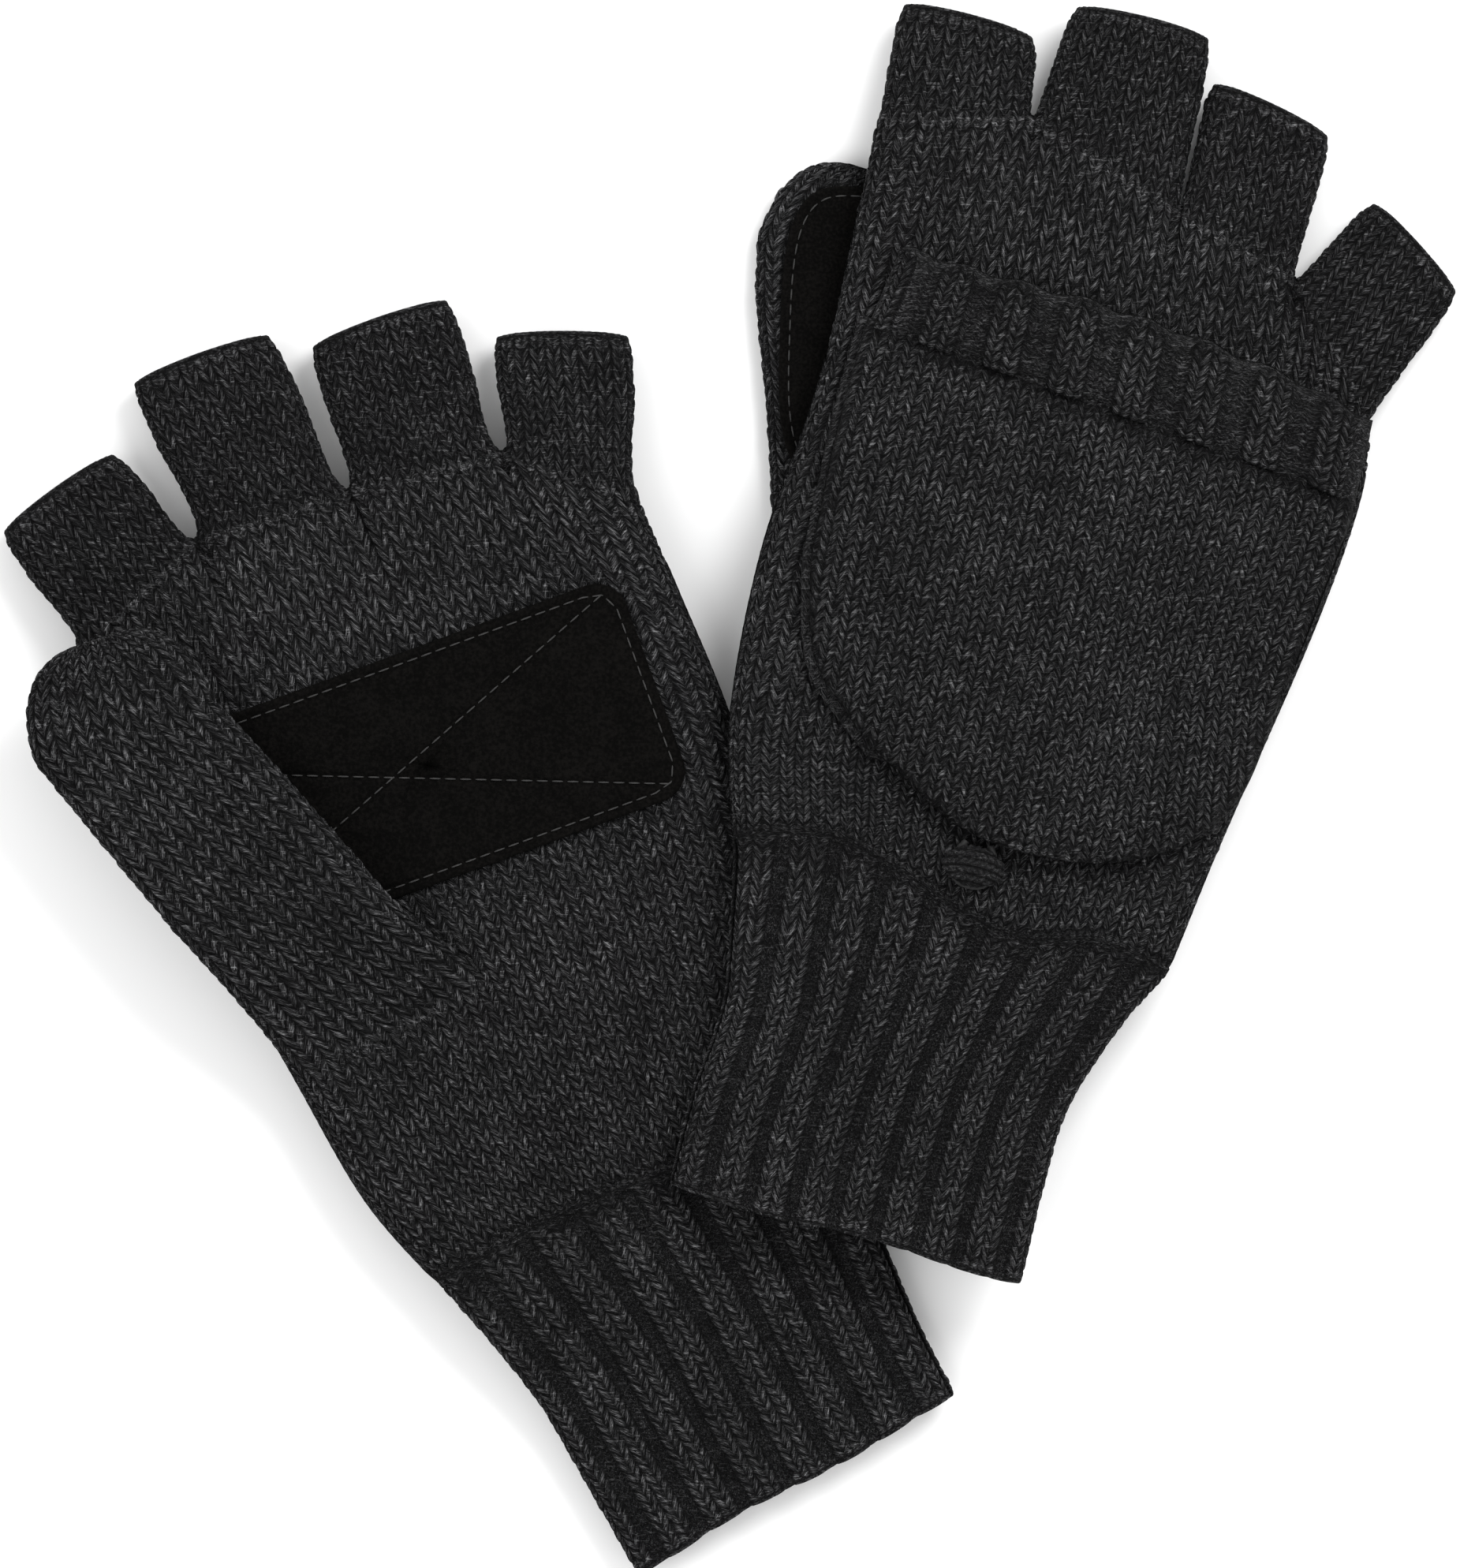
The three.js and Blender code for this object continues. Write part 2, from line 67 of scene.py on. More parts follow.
left = {
    "side": "left", "lean": 25, "at": (-17.3, -80.4), "palmUp": True,
    "cuffLeft": [(-34.6, -69), (-36.3, -50), (-38.6, -28), (-46, 0)],
    "cuffRight": [(39, -64), (38.5, -48), (39.3, -28), (41, 0)],
    "handLeft": [(-46, 0), (-52, 21), (-54.5, 50), (-57.5, 90), (-57.5, 146)],
    "handRight": [(41, 0), (49, 35), (55, 75), (56.5, 105), (57, 126)],
    "crotches": [(-26.6, 156), (4.9, 152), (36, 146)],
    "tips": [[(-61.9, 172.3), (-34, 177.5)], [(-25.6, 188.5), (4.2, 185.8)],
             [(10, 180), (39.6, 177)], [(44.3, 166.4), (69.4, 154.7)]],
    "thumbLeft": [(-50, 30), (-53, 46), (-57.5, 66), (-64, 88), (-69.8, 110), (-74.4, 128)],
    "thumbRight": [(-2, 30), (-10, 50), (-20, 70), (-26, 90), (-32, 110), (-36.5, 124)],
    "thumbRest": flipDepth,
    "patchAt": (-3.7, 94.6), "padAt": (-51.5, 111), "padLean": 13,
    "seamAt": (2, 107), "flipHalfWidth": 51, "buttonAt": (-2, 8.78),
    "cuffSeam": [(-46, 0), (-39, 0.5), (-16, 1.5), (6, 0.3), (24, -1.5), (41, 0)],
    "ribs": 8, "pinch": 1.2, "seed": 3,
}
right = {
    "side": "right", "lean": -12.5, "at": (43.4, -24.6), "palmUp": False,
    "cuffLeft": [(-42.5, -65), (-42, -48), (-40, -26), (-45, 0)],
    "cuffRight": [(31.1, -69), (31.4, -50), (33.6, -31), (46.5, 0)],
    "handLeft": [(-45, 0), (-50.5, 28), (-51.5, 62), (-47.5, 100), (-47.5, 152)],
    "handRight": [(46, 0), (52, 30), (60, 70), (63.5, 98), (62, 115.5)],
    "crotches": [(-17.3, 159), (15.5, 147), (41, 139)],
    "tips": [[(-48, 174.5), (-20, 173.5)], [(-14, 181.5), (14.5, 181)],
             [(16.2, 172.5), (42.2, 167)], [(52.7, 156.5), (73.8, 141.8)]],
    "thumbLeft": [(-38, 30), (-44, 48), (-50, 66), (-57.5, 92), (-63.3, 110), (-66, 123)],
    "thumbRight": [(-4, 30), (-9, 48), (-16, 68), (-21, 90), (-25, 108), (-28.5, 121)],
    "thumbRest": thumbStack,
    "patchAt": (2.3, 96), "padAt": (-43.3, 108), "padLean": 10.5,
    "seamAt": (10.5, 107), "flipHalfWidth": 52, "buttonAt": (3.3, 9.08),
    "cuffSeam": [(-45.5, 4.5), (-26, 8.8), (-9, 4.5), (5, -1), (17, -2.8), (32, 0), (46, -3)],
    "ribs": 9, "pinch": 0.25, "seed": 8,
}


# Soft step from 0 to 1: 3 t squared less 2 t cubed.
def smooth(x):
    t = np.clip(x, 0, 1)
    return t * t * (3 - 2 * t)


# Quarter-circle rise over a width, from 0 at the edge to 1.
def profile(distance, width):
    return np.sqrt(1 - (1 - np.clip(distance / width, 0, 1)) ** 2)


sag = {"fingers": 6, "fingersFrom": 126, "fingersOver": 48, "cuff": 7, "cuffOver": 50,
       "thumbGap": 0.8, "mittenGap": 1.4, "contactAt": 106, "side": 11, "sideOver": 65,
       "farFingers": 5, "farFrom": 130, "farOver": 50}


# How high the knit lies off the table: the right mitten slopes from the left one down to its own
# fingers and sags to the little finger side, and a soft minimum keeps it off the table.
def restHeight(mitten, u, v):
    k = sag
    if mitten["palmUp"]:
        fingers = k["fingers"] * smooth((v - k["fingersFrom"]) / k["fingersOver"])
        return flipDepth - fingers - k["cuff"] * smooth(-v / k["cuffOver"])
    base = thumbStack + k["thumbGap"]
    slope = (flipDepth + handDepth + k["mittenGap"] - base) / k["contactAt"]
    free = (base - slope * (np.maximum(v, 0) - k["contactAt"])
            - k["side"] * smooth(u / k["sideOver"])
            - k["farFingers"] * smooth((v - k["farFrom"]) / k["farOver"]))
    return (free + np.sqrt(free * free + 4)) / 2


# Plan to world: turned by the mitten's lean, moved to its place, and raised by its rest height.
def place(mitten, u, v, w, rest=None):
    turn = math.radians(mitten["lean"])
    if rest is None:
        rest = restHeight(mitten, u, v)
    x = mitten["at"][0] + u * math.cos(turn) - v * math.sin(turn) + shift[0]
    y = mitten["at"][1] + u * math.sin(turn) + v * math.cos(turn) + shift[1]
    z = rest + handDepth / 2 + (w if mitten["palmUp"] else -w)
    return np.stack(np.broadcast_arrays(x, y, z), -1) / 1000


shift = (0.0, 0.0)
low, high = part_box("left_button")
spot = place(left, np.array(left["buttonAt"][0]), np.array(left["buttonAt"][1]), np.array(0.0))
shift = (1000 * ((low.x + high.x) / 2 - spot[0]), 1000 * ((low.y + high.y) / 2 - spot[1]))


# How far along a line each of its points lies: the sum of the steps before it.
def runLength(line):
    return np.concatenate([[0], np.cumsum(np.linalg.norm(np.diff(line, axis=0), axis=1))])


# A point on a patch to the plan: turned by its angle and moved to its place.
def turned(x, y, at, degrees):
    turn = math.radians(degrees)
    return (at[0] + x * math.cos(turn) - y * math.sin(turn),
            at[1] + x * math.sin(turn) + y * math.cos(turn))


# Catmull-Rom curve through the points, returned as a function of the share of its length.
def throughPoints(points, steps=60):
    p = np.array(points, float)
    padded = np.vstack([p[:1], p, p[-1:]])
    spans = len(p) - 1
    t = np.linspace(0, spans, steps * spans + 1)
    i = np.minimum(t.astype(int), spans - 1)
    f = (t - i)[:, None]
    a, b, c, d = padded[i], padded[i + 1], padded[i + 2], padded[i + 3]
    line = 0.5 * (2 * b + (c - a) * f + (2 * a - 5 * b + 4 * c - d) * f ** 2
                  + (3 * b - a - 3 * c + d) * f ** 3)
    run = runLength(line)
    even = np.linspace(0, 1, 400)
    table = np.stack([np.interp(even * run[-1], run, line[:, k]) for k in range(line.shape[1])], -1)
    return lambda share: tuple(np.interp(share, even, table[:, k]) for k in range(table.shape[1]))


# Where share a of a flattened tube's half girth lies: distance in from the left edge, and height
# share. The two edges are quarter ellipses and the middle is flat.
def section(a, width, roundWidth, half):
    edge = math.pi / 2 * math.sqrt((roundWidth ** 2 + half ** 2) / 2)
    share = edge / (2 * edge + width - 2 * roundWidth)
    turn = np.clip(np.minimum(a, 1 - a) / share, 0, 1) * math.pi / 2
    inEdge = roundWidth * (1 - np.cos(turn))
    middle = roundWidth + (a - share) / (1 - 2 * share) * (width - 2 * roundWidth)
    d = np.where(a < share, inEdge, np.where(a > 1 - share, width - inEdge, middle))
    return d, np.sin(turn)


# The same between the two edge points of a tube: the share across, the width and the height share.
def tubeSection(leftAt, rightAt, a, roundWidth, half, inset):
    width = np.hypot(rightAt[0] - leftAt[0], rightAt[1] - leftAt[1])
    d, p = section(a, width, roundWidth, half)
    return (inset + d * (width - 2 * inset) / width) / width, width, p


# The point at a share of the way from one edge point to the other.
def between(leftAt, rightAt, share):
    return (leftAt[0] + (rightAt[0] - leftAt[0]) * share,
            leftAt[1] + (rightAt[1] - leftAt[1]) * share)


# The columns of a knitted side. legs is 0 in the middle of a stitch and 1 between stitches, purl
# marks the sunk columns, at is the place in stitches, and share runs 0 to 1 across the side.
def stockingColumns(stitches):
    k = np.arange(legColumns * stitches)
    return {"share": k / (legColumns * stitches), "legs": np.abs(k % 6 - 3) / 3, "purl": k * 0.0,
            "at": k / legColumns, "bulge": k * 0.0}


# Ribs: pairs of knit stitches, and a pair of purl ones sunk between them. bulge is the depth below
# the ribs' crowns in mm, which falls with the cube of the distance from each rib's middle.
def ribColumns(ribs, knitWidth, purlWidth, purlColumns, sink):
    knit = np.arange(12)
    purl = np.arange(purlColumns)
    legs = np.concatenate([np.abs(knit % 6 - 3) / 3,
                           np.abs((purl * 12 / purlColumns) % 6 - 3) / 3])
    isPurl = np.concatenate([knit * 0.0, purl * 0.0 + 1])
    isPurl[12] = 0.0
    step = np.concatenate([knit * 0 + knitWidth / 12, purl * 0 + purlWidth / purlColumns])
    middle = np.concatenate([(knit - 6) / 6.0, np.zeros(purlColumns)])
    bulge = np.where(isPurl > 0, -1.0, -0.42 * np.abs(middle) ** 3) * sink
    bulge[12] = -0.42 * sink
    at = np.concatenate([knit / 6, 2 + purl * 2 / purlColumns])
    one = len(step)
    share = np.concatenate([[0], np.cumsum(np.tile(step, ribs))])
    n = np.arange(one * ribs)
    return {"share": share[:-1] / share[-1], "legs": np.tile(legs, ribs),
            "purl": np.tile(isPurl, ribs), "at": np.tile(at, ribs) + 4 * (n // one),
            "bulge": np.tile(bulge, ribs)}


# Both sides of a tube as one ring of columns: over the top left to right, and back underneath.
def ringOf(columns):
    ring = {k: np.concatenate([columns[k], columns[k]]) for k in columns}
    ring["share"] = np.concatenate([columns["share"], 1 - columns["share"]])
    ring["at"] = np.concatenate([columns["at"], columns["at"] + columns["at"][-1] + 1 / 6])
    count = len(columns["share"])
    ring["side"] = np.concatenate([np.ones(count), -np.ones(count)])
    return ring


# One side on its own, with a last column added at its far edge.
def closedSide(columns):
    one = {k: np.append(columns[k], columns[k][0]) for k in columns}
    one["share"][-1] = 1.0
    one["at"][-1] = columns["at"][-1] + 1 / 6
    return one


# Knit relief, 0 in the gaps to 1 on the yarn. A knit leg is round across the yarn and tucks in at
# its two ends; a purl loop shows two low arcs a course.
def relief(row, columns):
    phase = (row % perCourse) / perCourse
    across = np.sqrt(1 - (2 * phase - 1) ** 2)
    ends = np.where(columns["legs"] > 0.9, 0.0, np.where(columns["legs"] < 0.1, 0.25, 1.0))
    knit = across * (0.08 + 0.92 * ends)
    purl = 0.25 + 0.6 * np.abs(np.sin(2 * math.pi * phase)) * (0.5 + 0.5 * (1 - columns["legs"]))
    return np.where(columns["purl"] > 0.5, purl, knit)


# How far along, in courses, each column's rows are carried: legs rise away from the stitch's
# middle, purl arcs dip, and both fade at the two ends of the piece.
def legLean(course, courses, columns, rise=1.05, fromStart=True):
    lean = np.where(columns["purl"] > 0.5, rise / 2 - 0.3 * (1 - columns["legs"]),
                    rise * (columns["legs"] - 0.5))
    start = smooth(course / 1.4) if fromStart else 1
    return lean * start * smooth((courses - course) / 1.4)


# Unit normals of a grid of points, from its differences along rows and columns.
def gridNormals(p, ring):
    if ring:
        du = np.roll(p, -1, 1) - np.roll(p, 1, 1)
    else:
        du = np.gradient(p, axis=1)
    dv = np.gradient(p, axis=0)
    n = np.cross(du, dv)
    return n / np.maximum(np.linalg.norm(n, axis=2, keepdims=True), 1e-12)


# Slow unevenness of a soft surface, in mm: a few crossed waves of 20 to 60 mm.
def unevenness(u, v, seed):
    rng = np.random.default_rng(seed)
    total = 0
    for length in (58, 41, 29, 21):
        turn, start = rng.uniform(0, math.pi), rng.uniform(0, 6.28)
        total = total + length / 150 * np.sin(
            (u * math.cos(turn) + v * math.sin(turn)) * 6.28 / length + start)
    return total


# Each leg of a stitch stands a little higher or lower: a drawn factor about 1 for each.
def stitchJitter(rows, columns, seed):
    rng = np.random.default_rng(seed)
    course = (rows // perCourse).astype(int)
    stitch = np.floor(columns["at"] * 2).astype(int)
    table = rng.normal(1, 0.16, (course.max() + 1, stitch.max() + 1))
    return table[course, stitch[None, :]]


# A mesh object from a grid of points. The stitch map is written per corner, so that it doesn't run
# backwards where a ring closes, and points that fall together are welded.
def gridObject(name, points, rowAt, columnAt, high, wrap, weld=False, bordered=False):
    rows, count = points.shape[:2]
    i, j = np.meshgrid(np.arange(rows if wrap else rows - 1), np.arange(count), indexing="ij")
    i, j = i.ravel(), j.ravel()
    i2, j2 = (i + 1) % rows, (j + 1) % count
    quads = np.stack([i * count + j, i * count + j2, i2 * count + j2, i2 * count + j], -1)
    u = np.append(columnAt, 2 * columnAt[-1] - columnAt[-2])
    v = np.append(rowAt, rowAt[-1] + 0.25)
    corners = np.stack([np.stack([u[j], v[i]], -1), np.stack([u[j + 1], v[i]], -1),
                        np.stack([u[j + 1], v[i + 1]], -1), np.stack([u[j], v[i + 1]], -1)], 1)
    if bordered:  # close each end between the outer columns and the lining columns behind them
        k = np.arange(count // 2 - 1)
        first = np.stack([k, k + 1, count - 2 - k, count - 1 - k], -1)
        last = (rows - 1) * count + first[:, ::-1]
        quads = np.concatenate([quads, first, last])
        corners = np.concatenate([corners, np.zeros((2 * len(k), 4, 2))])
    return meshObject(name, points.reshape(-1, 3), quads, corners.reshape(-1, 2), high.ravel(),
                      weld)


def linked(name, data):
    made = bpy.data.objects.new(name, data)
    bpy.context.scene.collection.objects.link(made)
    return made


def meshObject(name, points, faces, corners, high, weld=False):
    mesh = bpy.data.meshes.new(name)
    mesh.from_pydata(points.tolist(), [], faces.tolist())
    layer = mesh.uv_layers.new(name="stitchMap")
    layer.data.foreach_set("uv", np.asarray(corners, np.float32).ravel())
    # the yarn's relief, 0 to 1, times painted shade; the wool's colour darkens where it is low
    attribute = mesh.attributes.new("yarnHeightAndShade", "FLOAT", "POINT")
    attribute.data.foreach_set("value", np.asarray(high, np.float32).ravel())
    work = bmesh.new()
    work.from_mesh(mesh)
    if weld:
        bmesh.ops.remove_doubles(work, verts=work.verts, dist=2e-6)
        bmesh.ops.dissolve_degenerate(work, dist=1e-6, edges=work.edges)
        bmesh.ops.recalc_face_normals(work, faces=work.faces)
    if work.calc_volume(signed=True) < 0:
        bmesh.ops.reverse_faces(work, faces=work.faces)
    work.to_mesh(mesh)
    work.free()
    mesh.shade_smooth()
    return linked(name, mesh)


# A knitted tube. shape(t, a, side, inset) gives u, v, w and the rest height over the share of the
# length and of the girth. Its outer face carries the stitches; the lips and the lining close it.
# joined says which ends carry on into the next piece; seam paints shade on the ends sewn to
# another.
def knitTube(name, mitten, shape, columns, courses, tip=False, lift=knitLift, lining=8,
             joined=(False, False), seam=(0, 0)):
    ring = ringOf(columns)
    row = np.arange(courses * perCourse + 1)[:, None]
    level = row / perCourse
    course = level + legLean(level, courses, ring, fromStart=not joined[0])
    t = np.clip(course / courses, -0.5, 1)
    a = np.broadcast_to(ring["share"], t.shape)
    side = np.broadcast_to(ring["side"], t.shape)
    outer = place(mitten, *shape(t, a, side, 0.0))
    normal = gridNormals(outer, True)
    up = 1 if mitten["palmUp"] else -1
    if (normal[:, :, 2] * side).sum() * up < 0:
        normal = -normal
    yarn = relief(row, ring) * stitchJitter(row, ring, mitten["seed"] + courses)
    quiet = np.ones(row.shape)
    if not joined[0] and not tip:
        quiet = quiet * smooth(row / 3)
    if not joined[1]:
        quiet = quiet * smooth((courses * perCourse - row) / (8 if tip else 3))
    ribs = ring["bulge"] * (0.35 + 0.65 * smooth((courses - level) / 2.5))
    drop = ((yarn - 0.6) * lift * quiet + ribs) / 1000
    outer = outer + normal * drop[:, :, None]
    inT = np.broadcast_to(np.linspace(1, 0, lining)[:, None], (lining, t.shape[1]))
    inner = place(mitten, *shape(inT, a[:lining], side[:lining], wall))
    startLip = lipRows(inner[-1], outer[0], outer[0] - outer[2], joined[0])
    if tip:
        # lining from the base up to the tip, then round the base lip and out
        points = np.concatenate([inner, startLip, outer])
        rowAt = np.concatenate([np.zeros(lining), np.zeros(len(startLip)), level[:, 0]])
        high = np.concatenate([np.full((lining + len(startLip), t.shape[1]), 0.3), yarn])
        return gridObject(name, points, rowAt, ring["at"], high, False, weld=True)
    endLip = lipRows(outer[-1], inner[0], outer[-1] - outer[-3], joined[1])
    points = np.concatenate([outer, endLip, inner, startLip])
    rowAt = np.concatenate([level[:, 0], courses + np.arange(1, len(endLip) + 1) / 6,
                            courses + 1 + np.arange(lining), np.zeros(len(startLip)) - 0.3])
    # Painted shade: the ends sewn to another piece darken, for the shadow of the fold over the
    # seam, and the sunk purl columns of a rib darken too.
    shade = (1 - 0.65 * seam[0] * np.exp(-level ** 2)
             - 0.65 * seam[1] * np.exp(-((courses - level) / 1.6) ** 2))
    shadedYarn = yarn * shade * (1 + 0.5 * ribs / (1e-6 - ring["bulge"].min()))
    high = np.concatenate([shadedYarn, np.full((len(points) - len(outer), t.shape[1]), 0.55)])
    return gridObject(name, points, rowAt, ring["at"], high, True)


# Rows round the edge of a wall: half a turn from one face to the other, or straight across it
# where the knitting carries on into the next piece.
def lipRows(start, end, outward, joined=False, steps=4):
    if joined:
        share = np.array([0.03, 0.1, 0.9, 0.97])[:, None, None]
        return start + (end - start) * share
    turn = (np.arange(1, steps + 1) / (steps + 1) * math.pi)[:, None, None]
    middle, arm = (start + end) / 2, (start - end) / 2
    length = np.linalg.norm(arm, axis=1, keepdims=True)
    ahead = outward / np.maximum(np.linalg.norm(outward, axis=1, keepdims=True), 1e-9) * length
    return middle + arm * np.cos(turn) + ahead * np.sin(turn)


# A knitted layer with an outer and a lining face over the same grid, closed along its borders.
def knitLayer(name, mitten, outerAt, innerAt, columns, courses, fade, shading, lift=knitLift):
    row = np.arange(courses * perCourse + 1)[:, None]
    level = row / perCourse
    course = level + legLean(level, courses, columns)
    t = np.clip(course, 0, courses)
    a = np.broadcast_to(columns["share"], t.shape)
    outer = place(mitten, *outerAt(t, a))
    inner = place(mitten, *innerAt(t, a))
    normal = gridNormals(outer, False)
    facing = (outer - inner)[:, :, 2].sum()
    if normal[:, :, 2].sum() * facing < 0:
        normal = -normal
    yarn = relief(row, columns) * stitchJitter(row, columns, mitten["seed"] + 70 + courses)
    drop = ((yarn - 1) * lift + columns["bulge"][None, :]) * fade(t, a) / 1000
    outer = outer + normal * drop[:, :, None]
    ringPoints = np.concatenate([outer, inner[:, ::-1]], 1)
    ringAt = np.concatenate([columns["at"], columns["at"][-1] + 0.2 + columns["at"]])
    # Painted shade: the sunk purl columns darken, and shading multiplies in the painted shade that
    # the caller gives.
    shadedYarn = yarn * (1 + 0.2 * columns["bulge"] / (1e-6 - columns["bulge"].min())) * shading(t, a)
    high = np.concatenate([shadedYarn, np.full_like(yarn, 0.55)], 1)
    return gridObject(name, ringPoints, level[:, 0], ringAt, high, False, weld=True, bordered=True)


# The finger roots as v over the share across the hand, straight from root to root.
def rootLine(mitten):
    roots = [mitten["handLeft"][-1], *mitten["crotches"], mitten["handRight"][-1]]
    return np.array(roots, float)


handPiece = {"stitches": 33, "courses": 58, "roundWidth": 10, "rootFade": 0.16, "seamDip": 1.1}


def makeHand(mitten):
    k = handPiece
    leftLine, rightLine = throughPoints(mitten["handLeft"]), throughPoints(mitten["handRight"])
    roots = rootLine(mitten)
    rootShare = (roots[:, 0] - roots[0, 0]) / (roots[-1, 0] - roots[0, 0])
    rise = roots[:, 1] - (roots[0, 1] + (roots[-1, 1] - roots[0, 1]) * rootShare)
    seam = throughPoints(mitten["cuffSeam"])(np.linspace(0, 1, 200))

    def shape(t, a, side, inset):
        half = handDepth / 2
        edges = leftLine(t), rightLine(t)
        share, width, p = tubeSection(*edges, a, k["roundWidth"], half, inset)
        u, v = between(*edges, share)
        v = v + t ** 4 * np.interp(share, rootShare, rise)
        v = v + (1 - smooth(t / 0.2)) * np.interp(u, seam[0], seam[1])
        # the fingers' grooves fade into the hand below the roots
        gap = np.min(np.abs(share[..., None] - rootShare), -1) * width
        fingers = profile(gap, 5)
        mix = smooth((t - 1 + k["rootFade"]) / k["rootFade"]) ** 1.5
        p = p * (1 - mix) + np.minimum(fingers, 1) * mix
        dip = k["seamDip"] * np.exp(-((t * 150) / 2.2) ** 2)
        soft = unevenness(u, v, mitten["seed"]) * 0.5 * p * (1 - mix)
        w = side * ((half - inset) * p - dip * p) + side * np.minimum(soft - 0.45, 0) * 0.8
        return u, v, w

    # seam=(1, 0) paints shade on the hand's end at the cuff seam
    piece = knitTube(mitten["side"] + "_hand_knit", mitten, shape, stockingColumns(k["stitches"]),
                     k["courses"], joined=(False, True), seam=(1, 0))
    finished(piece, mitten["side"] + "_mitten", wool, mitten["side"] + "_hand")


cuffPiece = {"courses": 32, "roundWidth": 8, "sink": 1.35, "seamDip": 1.3, "lift": 0.45}


def makeCuff(mitten):
    k = cuffPiece
    leftLine, rightLine = throughPoints(mitten["cuffLeft"]), throughPoints(mitten["cuffRight"])
    seam = throughPoints(mitten["cuffSeam"])(np.linspace(0, 1, 200))

    def shape(t, a, side, inset):
        half = handDepth / 2
        edges = leftLine(t), rightLine(t)
        share, _, p = tubeSection(*edges, a, k["roundWidth"], half, inset)
        u, v = between(*edges, share)
        v = v + smooth((t - 0.7) / 0.3) * np.interp(u, seam[0], seam[1])
        v = v + (0.5 * np.sin(u / 7.3 + mitten["seed"]) - 0.7) * (1 - smooth(t / 0.25))
        dip = k["seamDip"] * np.exp(-(((1 - t) * 66) / 2.4) ** 2)
        soft = unevenness(u, v, mitten["seed"] + 1) * 0.45 * p
        w = side * ((half - inset) * p - dip * p) + side * np.minimum(soft - 0.4, 0) * 0.8
        return u, v, w

    columns = ribColumns(mitten["ribs"], 6.8, 2.6, 4, k["sink"])
    # seam=(0, 1) paints shade on the cuff's end at the seam
    piece = knitTube(mitten["side"] + "_cuff_rib", mitten, shape, columns, k["courses"],
                     lift=k["lift"], seam=(0, 1))
    finished(piece, mitten["side"] + "_mitten", ribWool, mitten["side"] + "_cuff")


stallPiece = {"names": ("index", "middle", "ring", "little"), "roundWidth": 5, "pitch": 3.3,
              "courseHeight": 2.5, "arch": 1.4, "corner": 0.5, "overlap": 1.6}


def makeStall(mitten, number):
    k = stallPiece
    roots = rootLine(mitten)
    tipLeft, tipRight = np.array(mitten["tips"][number], float)
    rootLeft = roots[number] + (0.1, -k["overlap"])
    rootRight = roots[number + 1] - (0.1, k["overlap"])
    length = (np.linalg.norm(tipLeft - rootLeft) + np.linalg.norm(tipRight - rootRight)) / 2
    courses = int(round(length / k["courseHeight"]))
    stitches = int(round((np.linalg.norm(rootRight - rootLeft) + 5) / k["pitch"]))

    def shape(t, a, side, inset):
        half = handDepth / 2
        edges = between(rootLeft, tipLeft, t), between(rootRight, tipRight, t)
        share, width, p = tubeSection(*edges, a, k["roundWidth"], half, inset)
        # the corners of the open end draw in a little, and its middle stands proud
        pull = k["corner"] * smooth((t - 0.86) / 0.14) ** 2 + mitten["pinch"] * smooth(t / 0.15) * (
            1 - smooth((t - 0.2) / 0.5))
        share = 0.5 + (share - 0.5) * (1 - 2 * pull / width)
        u, v = between(*edges, share)
        v = v + k["arch"] * t ** 3 * (1 - (2 * share - 1) ** 2)
        soft = unevenness(u, v, mitten["seed"] + 2 + number) * 0.35 * p * smooth(t / 0.4)
        w = side * (half - inset) * p * (1 - 0.12 * smooth((t - 0.8) / 0.2)) + side * np.minimum(
            soft - 0.2, 0) * 0.8
        return u, v, w

    finger = mitten["side"] + "_" + k["names"][number] + "_stall"
    piece = knitTube(finger + "_knit", mitten, shape, stockingColumns(stitches), courses, lining=4,
                     joined=(True, False))
    finished(piece, mitten["side"] + "_mitten", tipWool, finger)


thumbPiece = {"stitches": 11, "courses": 46, "depth": 8.0, "roundWidth": 7, "body": 97.0,
              "reach": 19.5, "riseFrom": 38, "riseOver": 44, "rootTop": 2.6, "topRise": 14.4,
              "rootBottom": 0.8, "bottomRise": 8.2, "blendU": -40.0, "blendV": (44.0, 72.0),
              "blendW": 5.0}


